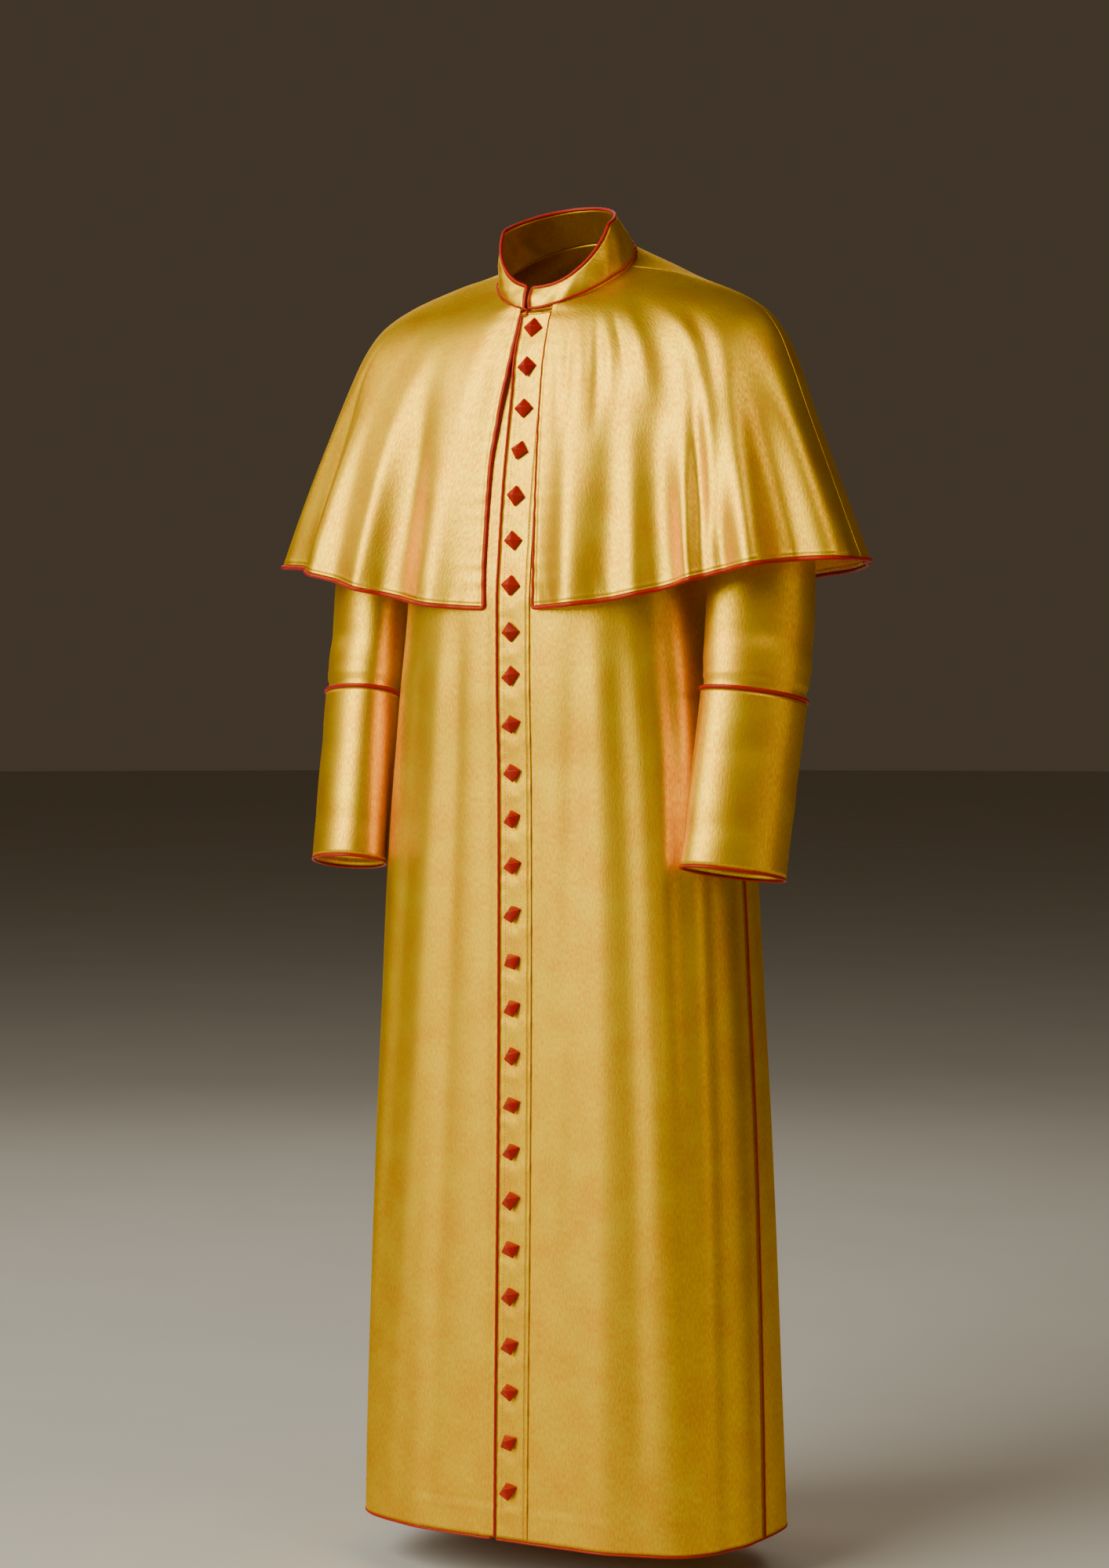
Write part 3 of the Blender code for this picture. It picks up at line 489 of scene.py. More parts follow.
# Folds that the cloth has beyond the solids', which grow towards the hem: signed angle, width, height
# at the hem, start station and drift. Negative angles are on the wearer's right.
CAPE_DRAPE: Rows = (
    (28.5, 6.0, 0.0095, 0.05, -1.0),
    (40.5, 6.5, -0.0155, 0.06, 4.0),
    (47.5, 3.0, 0.0035, 0.14, 1.0),
    (54.0, 4.0, 0.0040, 0.22, 0.0),
    (58.2, 1.6, 0.0040, 0.10, 5.0),
    (60.5, 1.3, -0.0035, 0.12, 5.0),
    (62.4, 1.3, 0.0050, 0.12, 5.0),
    (65.0, 1.5, -0.0030, 0.12, 4.5),
    (68.8, 2.2, 0.0060, 0.10, 4.0),
    (73.5, 2.6, 0.0040, 0.20, 0.0),
    (77.5, 3.0, 0.0035, 0.14, 6.0),
    (84.0, 3.0, 0.0030, 0.15, 4.0),
    (-33.0, 5.0, 0.0030, 0.20, -1.0),
    (-47.0, 4.5, 0.0040, 0.22, 0.0),
    (-54.0, 2.4, 0.0050, 0.13, -3.0),
    (-59.5, 2.6, -0.0050, 0.24, 0.0),
    (-65.0, 2.4, 0.0050, 0.14, -3.0),
    (-70.5, 1.2, -0.0055, 0.13, -4.0),
    (-76.0, 3.0, 0.0045, 0.18, -2.0),
    (108.0, 4.0, 0.0050, 0.20, 1.0),
    (122.0, 3.6, -0.0050, 0.18, 1.0),
    (144.0, 3.6, -0.0050, 0.18, 2.0),
    (156.0, 4.0, 0.0050, 0.16, 1.0),
    (172.0, 4.0, -0.0040, 0.18, 0.0),
    (-110.0, 4.0, 0.0050, 0.18, -1.0),
    (-124.0, 3.4, -0.0050, 0.20, -1.0),
    (-141.0, 3.6, -0.0040, 0.16, -2.0),
    (-157.0, 4.0, 0.0050, 0.18, -1.0),
    (-174.0, 3.6, -0.0040, 0.20, 0.0),
)
# Short soft creases that fan out from the collar and the shoulders: signed angle, width, height, from
# and to station, and drift.
CAPE_CREASES: Rows = (
    (21.0, 2.6, 0.0008, 0.03, 0.24, 1.0),
    (27.0, 2.0, -0.0013, 0.05, 0.20, -1.0),
    (33.0, 2.4, 0.0012, 0.04, 0.22, -1.0),
    (42.0, 2.2, -0.0019, 0.04, 0.23, -5.0),
    (45.5, 1.8, 0.0014, 0.05, 0.20, -2.0),
    (49.5, 1.6, -0.0015, 0.05, 0.18, -1.0),
    (55.0, 2.4, 0.0017, 0.05, 0.21, 0.0),
    (63.0, 4.6, -0.0050, 0.02, 0.40, -8.0),
    (66.0, 2.2, 0.0016, 0.08, 0.20, 2.0),
    (72.0, 2.4, -0.0022, 0.10, 0.26, -6.0),
    (83.0, 3.0, -0.0014, 0.10, 0.34, -2.0),
    (-30.0, 4.0, 0.0006, 0.05, 0.26, 0.0),
    (-49.0, 5.0, -0.0035, 0.08, 0.42, 3.0),
    (-55.0, 3.0, 0.0012, 0.10, 0.26, 1.0),
    (-63.0, 2.6, -0.0010, 0.09, 0.24, 1.0),
    (-80.0, 3.0, -0.0014, 0.09, 0.34, 2.0),
    (100.0, 4.0, 0.0014, 0.06, 0.32, 2.0),
    (113.0, 3.4, -0.0016, 0.05, 0.26, 3.0),
    (128.0, 3.0, 0.0016, 0.06, 0.30, 3.0),
    (142.0, 3.4, -0.0014, 0.05, 0.24, 2.0),
    (158.0, 3.4, 0.0012, 0.04, 0.30, 2.0),
    (-104.0, 3.8, -0.0014, 0.06, 0.30, -2.0),
    (-119.0, 3.4, 0.0016, 0.05, 0.28, -3.0),
    (-134.0, 3.2, -0.0015, 0.06, 0.26, -3.0),
    (-150.0, 3.6, 0.0013, 0.05, 0.30, -2.0),
)
# How far the collar band bows out, and its slight waves: height, turns round and slant.
COLLAR_ROUND = 0.0025
COLLAR_WAVES: Rows = (
    (0.0006, 15.0, 3.0),
    (0.0004, 31.0, -6.0),
)


def body_fold(_station: float, places: np.ndarray, points: np.ndarray) -> np.ndarray:
    """How far the folds and creases move the body cloth out.

    Args:
        _station: The row's station, which this rule does without.
        places: Places round the ring.
        points: The smooth cloth's points at those places.

    Returns:
        The distance of each point.
    """
    part = np.abs(places)
    height = points[:, 2]
    total = np.zeros(len(part))
    for place, width, size, start in BODY_FOLDS:
        ramp = soft_step((start - height) / (start - HEM_HEIGHT))
        for around in (place, 4 - place):
            total += size * ramp * bell(part, around, width)
    for place, width, size, top, bottom, drift in BODY_CREASES:
        down = (top - height) / (top - bottom)
        fade = soft_step((top - height) / CREASE_FADE)
        fade = fade * soft_step((height - bottom) / CREASE_FADE + CREASE_END)
        total += size * fade * bell(places, place + drift * np.clip(down, 0, 1), width)
    return total


def cape_fold(station: float, _places: np.ndarray, points: np.ndarray) -> np.ndarray:
    """How far the folds and creases move the cape out.

    Args:
        station: The row's station.
        _places: Its places, which this rule does without.
        points: The smooth cloth's points.

    Returns:
        The distance of each point.
    """
    angles = np.degrees(np.arctan2(np.abs(points[:, 0]), BODY_LINE_Y - points[:, 1]))
    total = np.zeros(len(angles))
    lower = CAPE_RINGS[-1][0]
    for table, side in ((CAPE_FOLDS_LEFT, 1), (CAPE_FOLDS_RIGHT, -1), (CAPE_FOLDS_BACK, 0)):
        here = np.where(side * points[:, 0] >= 0, 1.0, 0.0)
        for angle, width, height, start in table:
            ramp = float(soft_step((station - start) / (lower - start))) ** CAPE_GROWTH
            total += here * height * ramp * bell(angles, angle, width)
    signed = np.where(points[:, 0] < 0, -angles, angles)
    for angle, width, height, start, drift in CAPE_DRAPE:
        down = float(soft_step((station - start) / (lower - start)))
        total += height * down**CAPE_GROWTH * bell(signed, angle + drift * (1 - down), width)
    for angle, width, height, start, end, drift in CAPE_CREASES:
        down = np.clip((station - start) / (end - start), 0, 1)
        total += height * math.sin(math.pi * down) ** 1.5 * bell(signed, angle + drift * down, width)
    stations, depths = zip(*CAPE_EDGE_TUCK)
    tuck = smooth_value(stations, depths, station)
    near_edge = bell(np.minimum(signed, CAPE_TUCK_ANGLE), CAPE_TUCK_ANGLE, CAPE_TUCK_WIDTH)
    return total - tuck * np.where(signed < 0, near_edge, 0.0)


def collar_fold(station: float, places: np.ndarray, _points: np.ndarray) -> np.ndarray:
    """The round of the collar band and the slight waves of its satin.

    Args:
        station: The row's station, 0 at the base and 1 at the edge.
        places: Its places round the neck.
        _points: The smooth band's points, which this rule does without.

    Returns:
        The distance of each point.
    """
    wave = sum(height * np.sin(places * turns + slant * station) for height, turns, slant in COLLAR_WAVES)
    return math.sin(math.pi * station) * (COLLAR_ROUND + wave)


class Edge(Enum):
    """Ways in which a cord closes."""

    OPEN = "open"
    LOOP = "loop"


def new_piece(
    name: str, points: np.ndarray, faces: list[tuple[int, ...]], uv: np.ndarray
) -> bpy.types.Object:
    """A mesh piece with smooth faces that look out and a flat map in metres.

    Args:
        name: The piece's name.
        points: Its points.
        faces: Its faces.
        uv: The flat measures of each corner of each face.

    Returns:
        The new object, at the origin.
    """
    mesh = bpy.data.meshes.new(name)
    mesh.from_pydata(points.tolist(), [], faces)
    layer = mesh.uv_layers.new(name="flat")
    layer.data.foreach_set("uv", np.asarray(uv, np.float32).ravel())
    mesh.update()
    mesh.shade_smooth()
    piece = bpy.data.objects.new(name, mesh)
    bpy.context.scene.collection.objects.link(piece)
    return piece


def add_cloth(name: str, sheet: Sheet, wall: float) -> bpy.types.Object:
    """A sheet of cloth with a wall: the outer grid, the same grid moved in, and the rims.

    Args:
        name: The piece's name.
        sheet: Its outer face.
        wall: Its thickness.

    Returns:
        The cloth as one closed mesh.
    """
    rows, columns = sheet.points.shape[:2]
    inner = sheet.points - sheet.normals * wall
    points = np.concatenate([sheet.points.reshape(-1, 3), inner.reshape(-1, 3)])
    spans = columns if sheet.wraps else columns - 1
    r, c = np.meshgrid(np.arange(rows - 1), np.arange(spans), indexing="ij")
    right = (c + 1) % columns
    low, high = r * columns, (r + 1) * columns
    face = np.stack([low + c, low + right, high + right, high + c], axis=-1).reshape(-1, 4)
    flat = sheet.flat_uv()
    corner_uv = np.stack([flat[r, c], flat[r, c + 1], flat[r + 1, c + 1], flat[r + 1, c]], axis=2)
    corner_uv = corner_uv.reshape(-1, 4, 2)
    back = rows * columns
    if sheet.outward < 0:
        face, corner_uv = face[:, ::-1], corner_uv[:, ::-1]
    faces = [face, face[:, ::-1] + back]
    uvs = [corner_uv, corner_uv[:, ::-1]]
    for line in rim_lines(rows, columns, sheet.wraps):
        low, high = line[:-1], line[1:]
        rim = np.stack([high, low, low + back, high + back], axis=-1)
        if sheet.outward < 0:
            rim = rim[:, ::-1]
        faces.append(rim)
        uvs.append(np.zeros((len(rim), 4, 2)))
    return new_piece(name, points, np.concatenate(faces).tolist(), np.concatenate(uvs))


def rim_lines(rows: int, columns: int, wraps: bool) -> list[np.ndarray]:
    """The outlines of a grid as lines of point numbers, each going round the cloth the same way.

    Args:
        rows: The grid's rows.
        columns: Its columns.
        wraps: Whether it is a tube.

    Returns:
        The two rims of a tube, or the four sides of a flat sheet.
    """
    low = np.arange(columns)
    top = (rows - 1) * columns + np.arange(columns)[::-1]
    if wraps:
        return [np.append(low, low[0]), np.append(top, top[0])]
    first = np.arange(rows)[::-1] * columns
    last = np.arange(rows) * columns + columns - 1
    return [low, last, top, first]


@dataclass(frozen=True)
class Piping:
    """A cord covered in a bias strip of satin, whose cover puckers a little as it is sewn on."""

    radius: float
    sides: int = 10
    pucker: float = 0.05
    pucker_length: float = 0.0075
    pucker_drift: float = 61.0
    step: float = 0.0025
    fewest_steps: int = 8
    steepest: float = 0.2

    def build(
        self, name: str, path: np.ndarray, edge: Edge = Edge.OPEN, shares: np.ndarray | None = None
    ) -> bpy.types.Object:
        """Makes the cord along a path.

        Args:
            name: The piece's name.
            path: The points that it follows.
            edge: Whether it closes on itself.
            shares: How much of its radius shows at each point, or all of it everywhere.

        Returns:
            The cord.
        """
        shares = np.ones(len(path)) if shares is None else shares
        evened = self.evened(np.column_stack([path, shares]), edge)
        path, shares = evened[:, :3], evened[:, 3]
        loop = edge is Edge.LOOP
        if loop:
            ways = unit(np.roll(path, -1, axis=0) - np.roll(path, 1, axis=0))
        else:
            ways = unit(np.gradient(path, axis=0))
        side = np.cross(ways[0], (0.0, 0.0, 1.0))
        if np.linalg.norm(side) < self.steepest:
            side = np.cross(ways[0], (0.0, 1.0, 0.0))
        turns = np.arange(self.sides) * 2 * math.pi / self.sides
        lengths = path_lengths(path)
        points = []
        for spot, way, length, share in zip(path, ways, lengths, shares):
            side = unit(side - way * np.dot(side, way))
            other = np.cross(way, side)
            wave = np.sin(length / self.pucker_length * 2 * math.pi + turns * 2)
            radius = share * self.radius * (1 + self.pucker * wave * math.sin(length * self.pucker_drift))
            round_it = np.cos(turns)[:, None] * side + np.sin(turns)[:, None] * other
            points.append(spot + radius[:, None] * round_it)
        count = len(path)
        faces: list[tuple[int, ...]] = []
        uvs: list[tuple[float, float]] = []
        girth = 2 * math.pi * self.radius / self.sides
        for i in range(count if loop else count - 1):
            low, high = i * self.sides, ((i + 1) % count) * self.sides
            for k in range(self.sides):
                n = (k + 1) % self.sides
                faces.append((low + k, low + n, high + n, high + k))
                near, far = lengths[i], lengths[i] + self.step
                this, then = k * girth, (k + 1) * girth
                uvs += [(this, near), (then, near), (then, far), (this, far)]
        if not loop:
            last = (count - 1) * self.sides
            faces.append(tuple(range(self.sides))[::-1])
            faces.append(tuple(last + k for k in range(self.sides)))
            uvs += [(0.0, 0.0)] * (2 * self.sides)
        return new_piece(name, np.concatenate(points), faces, np.array(uvs))

    def evened(self, path: np.ndarray, edge: Edge) -> np.ndarray:
        """The same path with points at even steps, its corners slightly rounded.

        Args:
            path: Its points, with any more columns that go with them.
            edge: Whether it closes on itself.

        Returns:
            The new rows.
        """
        path = np.asarray(path, float)
        if edge is Edge.LOOP:
            path = np.concatenate([path, path[:1]])
        lengths = path_lengths(path[:, :3])
        count = max(self.fewest_steps, int(lengths[-1] / self.step))
        made = read_columns(np.linspace(0, lengths[-1], count + 1), lengths, path)
        if edge is Edge.LOOP:
            made = made[:-1]
            return (np.roll(made, 1, axis=0) + 2 * made + np.roll(made, -1, axis=0)) / 4
        made[1:-1] = (made[:-2] + 2 * made[1:-1] + made[2:]) / 4
        return made


def linear(code: str) -> tuple[float, float, float, float]:
    """An sRGB hex colour as the linear values that a shader takes.

    Args:
        code: Six hex digits.

    Returns:
        Red, green, blue and an alpha of one.
    """
    values = [int(code[i : i + 2], 16) / 255 for i in (0, 2, 4)]
    values = [v / 12.92 if v <= 0.04045 else ((v + 0.055) / 1.055) ** 2.4 for v in values]
    return (values[0], values[1], values[2], 1.0)


def add_node(
    tree: bpy.types.NodeTree, kind: str, settings: dict | None = None, links: dict | None = None
) -> bpy.types.Node:
    """Adds a node with its settings and links.

    Args:
        tree: The material's tree.
        kind: The node's type.
        settings: Values by property or input name.
        links: Output sockets by input name.

    Returns:
        The node.
    """
    node = tree.nodes.new(kind)
    for key, value in (settings or {}).items():
        if isinstance(key, str) and hasattr(node, key):
            setattr(node, key, value)
        else:
            node.inputs[key].default_value = value
    for key, socket in (links or {}).items():
        tree.links.new(socket, node.inputs[key])
    return node


@dataclass(frozen=True)
class Satin:
    """Woven satin: long shiny floats over a matt ground, so its folds show soft bright bands.

    The real threads are about 0.1 mm apart, too fine for the picture, so the grain is drawn at
    grain_mm, which reads as the cloth's fine sparkle.
    """

    name: str
    colour: str
    deep: str
    roughness: float
    metallic: float
    specular: float
    grain_mm: float = 2.2
    rim: str = "FFEEA0"
    cloud_mm: float = 45.0
    grain_height_mm: float = 0.50
    stretch: float = 0.35
    grain_share: float = 0.95
    cloud_share: float = 0.45
    share_offset: float = -0.2
    shade_range: tuple[float, float] = (0.32, 0.66)
    roughness_swing: float = 0.05

    def build(self) -> bpy.types.Material:
        """Makes the material."""
        material = bpy.data.materials.new(self.name)
        material.use_nodes = True
        tree = material.node_tree
        shader = tree.nodes["Principled BSDF"]
        flat = add_node(tree, "ShaderNodeUVMap", {"uv_map": "flat"})
        # Floats run along the length, so the grain is three times as long as it is wide.
        stretch = add_node(
            tree, "ShaderNodeMapping", {"Scale": (1.0, self.stretch, 1.0)}, {"Vector": flat.outputs["UV"]}
        )
        grain = add_node(
            tree, "ShaderNodeTexNoise",
            {"Scale": 1 / (self.grain_mm * MM), "Detail": 3.0, "Roughness": 0.6},
            {"Vector": stretch.outputs["Vector"]},
        )
        cloud = add_node(
            tree, "ShaderNodeTexNoise",
            {"Scale": 1 / (self.cloud_mm * MM), "Detail": 2.0, "Roughness": 0.5},
            {"Vector": flat.outputs["UV"]},
        )
        mottle = add_node(
            tree, "ShaderNodeMath",
            {"operation": "MULTIPLY_ADD", 1: self.grain_share, 2: self.share_offset},
            {0: grain.outputs["Fac"]},
        )
        mixed = add_node(
            tree, "ShaderNodeMath", {"operation": "MULTIPLY_ADD", 1: self.cloud_share},
            {0: cloud.outputs["Fac"], 2: mottle.outputs["Value"]},
        )
        ramp = add_node(tree, "ShaderNodeValToRGB", {}, {"Fac": mixed.outputs["Value"]})
        shades = zip(ramp.color_ramp.elements, self.shade_range, (self.deep, self.colour))
        for element, position, code in shades:
            element.position = position
            element.color = linear(code)
        tree.links.new(ramp.outputs["Color"], shader.inputs["Base Color"])
        rough = add_node(
            tree, "ShaderNodeMapRange",
            {
                "From Min": 0.3, "From Max": 0.7,
                "To Min": self.roughness + self.roughness_swing,
                "To Max": self.roughness - self.roughness_swing,
            },
            {"Value": grain.outputs["Fac"]},
        )
        tree.links.new(rough.outputs["Result"], shader.inputs["Roughness"])
        bump = add_node(
            tree, "ShaderNodeBump", {"Strength": 0.5, "Distance": self.grain_height_mm * MM},
            {"Height": grain.outputs["Fac"]},
        )
        tree.links.new(bump.outputs["Normal"], shader.inputs["Normal"])
        shader.inputs["Metallic"].default_value = self.metallic
        shader.inputs["Specular IOR Level"].default_value = self.specular
        shader.inputs["Specular Tint"].default_value = linear(self.rim)
        return material


@dataclass(frozen=True)
class Thread:
    """Spun polyester sewing thread: a dull twisted strand, a little deeper than the cloth."""

    name: str
    colour: str
    roughness: float = 0.55
    twist_mm: float = 0.5
    twist_height_mm: float = 0.05

    def build(self) -> bpy.types.Material:
        """Makes the material."""
        material = bpy.data.materials.new(self.name)
        material.use_nodes = True
        tree = material.node_tree
        shader = tree.nodes["Principled BSDF"]
        place = add_node(tree, "ShaderNodeTexCoord")
        twist = add_node(
            tree, "ShaderNodeTexWave",
            {"Scale": 1 / (self.twist_mm * MM) / (2 * math.pi), "Distortion": 1.0},
            {"Vector": place.outputs["Object"]},
        )
        bump = add_node(
            tree, "ShaderNodeBump", {"Strength": 0.4, "Distance": self.twist_height_mm * MM},
            {"Height": twist.outputs["Fac"]},
        )
        tree.links.new(bump.outputs["Normal"], shader.inputs["Normal"])
        shader.inputs["Base Color"].default_value = linear(self.colour)
        shader.inputs["Roughness"].default_value = self.roughness
        return material


@dataclass
class Wardrobe:
    """The finishes, and how a finished piece joins the frame."""

    gold: bpy.types.Material
    red: bpy.types.Material
    red_button: bpy.types.Material
    gold_thread: bpy.types.Material
    red_thread: bpy.types.Material

    @staticmethod
    def make() -> Wardrobe:
        """Makes every finish once."""
        return Wardrobe(
            gold=Satin("gold_duchess_satin", "FFD308", "F1A804", 0.45, 0.97, 0.4).build(),
            red=Satin("red_piping_satin", "B80610", "980412", 0.38, 0.0, 0.45, grain_mm=0.8).build(),
            red_button=Satin("red_button_satin", "B0050F", "940311", 0.38, 0.0, 0.45, grain_mm=0.8).build(),
            gold_thread=Thread("gold_sewing_thread", "C08A25").build(),
            red_thread=Thread("red_sewing_thread", "8E1A12").build(),
        )

    def dress(
        self, piece: bpy.types.Object, finish: bpy.types.Material, slot: str, *nodes: str
    ) -> bpy.types.Object:
        """Gives a piece its finish and joins it to the frame.

        Args:
            piece: The finished piece.
            finish: Its material.
            slot: Not used.
            nodes: The solids that it stands for.

        Returns:
            The piece.
        """
        piece.data.materials.clear()
        piece.data.materials.append(finish)
        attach(piece, BODY)
        if nodes:
            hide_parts(*nodes)
        log.info("%s: %d faces", piece.name, len(piece.data.polygons))
        return piece

    def cloth(
        self, name: str, sheet: Sheet, wall: float
    ) -> bpy.types.Object:
        """A sheet of gold satin that stands for the solid of the same name.

        Args:
            name: The node that it replaces.
            sheet: Its outer face.
            wall: Its thickness.

        Returns:
            The piece.
        """
        piece = add_cloth(f"satin_{name}", sheet, wall)
        self.dress(piece, self.gold, "gold_satin", name)
        width, length, area = sheet.size()
        area = round(min(area, width * length), 4)
        log.info("%s: flat %.3f by %.3f m, %.3f square metres", name, width, length, area)
        return piece

    def cord(
        self, node: str, path: np.ndarray, piping: Piping,
        edge: Edge = Edge.OPEN, shares: np.ndarray | None = None,
    ) -> bpy.types.Object:
        """A red cord that stands for the solid of the same name.

        Args:
            node: The node that it replaces.
            path: The points that it follows.
            piping: The kind of cord.
            edge: Whether it closes on itself.
            shares: How much of its radius shows at each point.

        Returns:
            The piece.
        """
        piece = piping.build(f"satin_{node}", path, edge, shares)
        return self.dress(piece, self.red, "red_cord", node)


@dataclass
class Stitches:
    """Short stitches of sewing thread along a line, joined into one piece."""

    length: float = 0.0026
    gap: float = 0.0012
    radius: float = 0.00028
    sink: float = 0.00008
    narrowing: float = 0.35
    rise: float = 0.5
    dip: float = 1.2
    thickest: float = 1.6

    def build(self, name: str, lines: list[tuple[np.ndarray, np.ndarray]]) -> bpy.types.Object:
        """Makes one stitch as by hand and lays copies of it along lines.

        Args:
            name: The piece's name.
            lines: Paths with the outward direction at each of their points.

        Returns:
            The joined stitches.
        """
        points, faces = self.one_stitch()
        all_points, all_faces = [], []
        for path, normals in lines:
            lengths = path_lengths(path)
            spots = np.arange(self.length / 2, lengths[-1] - self.length / 2, self.length + self.gap)
            middles = read_columns(spots, lengths, path)
            ways = unit(read_columns(spots + self.length / 2, lengths, path) - middles)
            outs = read_columns(spots, lengths, normals)
            outs = unit(outs - ways * np.sum(outs * ways, axis=1, keepdims=True))
            sides = np.cross(ways, outs)
            for middle, way, out, side in zip(middles, ways, outs, sides):
                all_faces.append(faces + len(all_points) * len(points))
                flat = points[:, :1] * way + points[:, 1:2] * side
                all_points.append(middle + flat + (points[:, 2:] - self.sink) * out)
        joined = np.concatenate(all_faces)
        return new_piece(name, np.concatenate(all_points), joined.tolist(), np.zeros((joined.size, 2)))

    def one_stitch(self) -> tuple[np.ndarray, np.ndarray]:
        """One stitch along X: a short bar whose ends dip into the cloth.

        Returns:
            Its points and its faces.
        """
        bpy.ops.object.select_all(action="DESELECT")
        bpy.ops.mesh.primitive_cube_add(size=1.0)
        stitch = bpy.context.object
        bpy.ops.object.mode_set(mode="EDIT")
        bpy.ops.transform.resize(value=(self.length, 2 * self.radius, 2 * self.radius))
        bpy.ops.mesh.subdivide(number_cuts=1)
        bpy.ops.object.mode_set(mode="OBJECT")
        for vertex in stitch.data.vertices:
            end = abs(vertex.co.x) / (self.length / 2)
            vertex.co.y *= 1 - self.narrowing * end**2
            vertex.co.z += self.radius * (self.rise - self.dip * end**2)
            ring = math.hypot(vertex.co.y, vertex.co.z)
            vertex.co.z *= min(1.0, self.radius * self.thickest / max(ring, TINY))
        points = np.array([vertex.co[:] for vertex in stitch.data.vertices])
        faces = np.array([polygon.vertices[:] for polygon in stitch.data.polygons])
        bpy.data.objects.remove(stitch)
        return points, faces


@dataclass
class BodyPanels:
    """The four body panels, the placket, and the cords on the front edge, hem and side seams."""

    lap_edge: float = -0.0140
    placket: tuple[float, float] = (-0.0125, 0.0265)
    under_edge: float = 0.0200
    under_flat_to: float = 0.0175
    tuck: float = 0.0022
    placket_wall: float = 0.0010
    tuck_from: float = 0.032
    groove: float = 0.0218
    groove_depth: float = 0.0007
    groove_width: float = 0.0005
    groove_steps: tuple[float, ...] = (-0.0008, -0.0004, 0.0, 0.0004, 0.0008)
    band_columns: int = 22
    edge_columns: int = 4
    placket_short_top: float = 0.0045
    placket_short_low: float = 0.0015
    armpit: float = -0.276
    front_cut: float = 0.055
    back_cut: float = 0.048
    armhole_roundness: float = 2.4
    columns: int = 78
    rows_below: int = 240
    rows_armhole: int = 64
    rows_shoulder: int = 26
    pucker_height: float = 0.00035
    pucker_length: float = 0.0165
    pucker_drift: float = 23.0
    pucker_reach: float = 0.10
    # The line above the hem: how far up, height and width of its groove and of the ridge under it.
    hem_lines: Rows = (
        (0.038, -0.0007, 0.0022),
        (0.032, 0.0004, 0.003),
    )
    # How the placket stands at each button: height, place above the button and width along it.
    pull_off_middle: float = -0.003
    pull_reach: float = 0.009
    pulls: Rows = (
        (-0.0005, 0.0, 0.007),
        (0.0009, -0.024, 0.008),
    )
    # The slanted ripple under each button: height, reach across, place, slant and width.
    ripple: tuple[float, ...] = (0.0005, 0.016, -0.012, 0.3, 0.007)
    stitch_columns: tuple[int, int] = (4, 24)
    stitch_ends: tuple[int, int] = (4, -6)
    front_piping: Piping = Piping(0.0015)
    hem_piping: Piping = Piping(0.0013)
    side_piping: Piping = Piping(0.0011, sides=8)
    hem_lap: float = -0.0190
    side_short_rows: int = 2
    form: Form = field(default_factory=lambda: Form(BODY_RINGS, body_fold))
    left: Sheet = field(init=False)
    right: Sheet = field(init=False)
    back: Sheet = field(init=False)
    back_right: Sheet = field(init=False)
    band: Sheet = field(init=False)
    stations: np.ndarray = field(init=False)

    def __post_init__(self) -> None:
        """Works out the sheets, which other pieces are placed from."""
        low, high = BODY_RINGS[0][0], BODY_RINGS[-1][0]
        self.stations = np.concatenate(
            [
                np.linspace(low, self.armpit, self.rows_below, endpoint=False),
                np.linspace(self.armpit, 0, self.rows_armhole, endpoint=False),
                np.linspace(0, high, self.rows_shoulder),
            ]
        )
        rings = [self.form.ring(float(s)) for s in self.stations]
        near_groove = self.groove + np.array(self.groove_steps)
        left_ways = np.concatenate(
            [
                np.linspace(self.lap_edge, near_groove[0], self.band_columns, endpoint=False),
                near_groove,
                np.linspace(near_groove[-1], self.placket[1], self.edge_columns)[1:],
            ]
        )
        left_places, right_places, back_places = [], [], []
        for station, ring in zip(self.stations, rings):
            side = 1 - (self.armhole_way(station, self.front_cut) + SEAM_GAP / 2) / ring.front_length
            near = np.array([ring.place_of(way) for way in left_ways])
            rest = np.linspace(near[-1], side, self.columns - len(near) + 1)[1:]
            left_places.append(np.concatenate([near, rest]))
            right_places.append(np.linspace(ring.place_of(-self.under_edge), side, self.columns))
            far = 1 + (self.armhole_way(station, self.back_cut) + SEAM_GAP / 2) / ring.back_length
            back_places.append(np.linspace(far, 2 - SEAM_GAP / 2 / ring.back_length, self.columns))
        self.left = self.form.sheet(self.stations, left_places)
        mirrored = self.form.sheet(self.stations, [-row[::-1] for row in right_places])
        self.right = self.tucked(mirrored, right_places, rings)
        self.back = self.form.sheet(self.stations, back_places)
        self.back_right = self.form.sheet(self.stations, [4 - row[::-1] for row in back_places])
        self.pucker()
        self.band = self.placket_band(left_ways)

    def placket_band(self, left_ways: np.ndarray) -> Sheet:
        """The placket, which lies on the left front.

        Args:
            left_ways: How far from the front middle the left front's first columns lie.

        Returns:
            The placket's outer face.
        """
        on_band = slice(1, len(left_ways))
        lifted = self.left.moved(self.placket_wall + SEAM_GAP)
        band = lifted.points[:, on_band].copy()
        band[0] += unit(band[1] - band[0]) * self.placket_short_low
        band[-1] += unit(band[-2] - band[-1]) * self.placket_short_top
        flat = Sheet(band, outward=self.left.outward)
        ways = np.broadcast_to(left_ways[on_band], band.shape[:2])
        sunk = self.groove_depth * bell(ways, self.groove, self.groove_width)
        return flat.moved(self.button_pull(ways, band[..., 2]) - sunk)

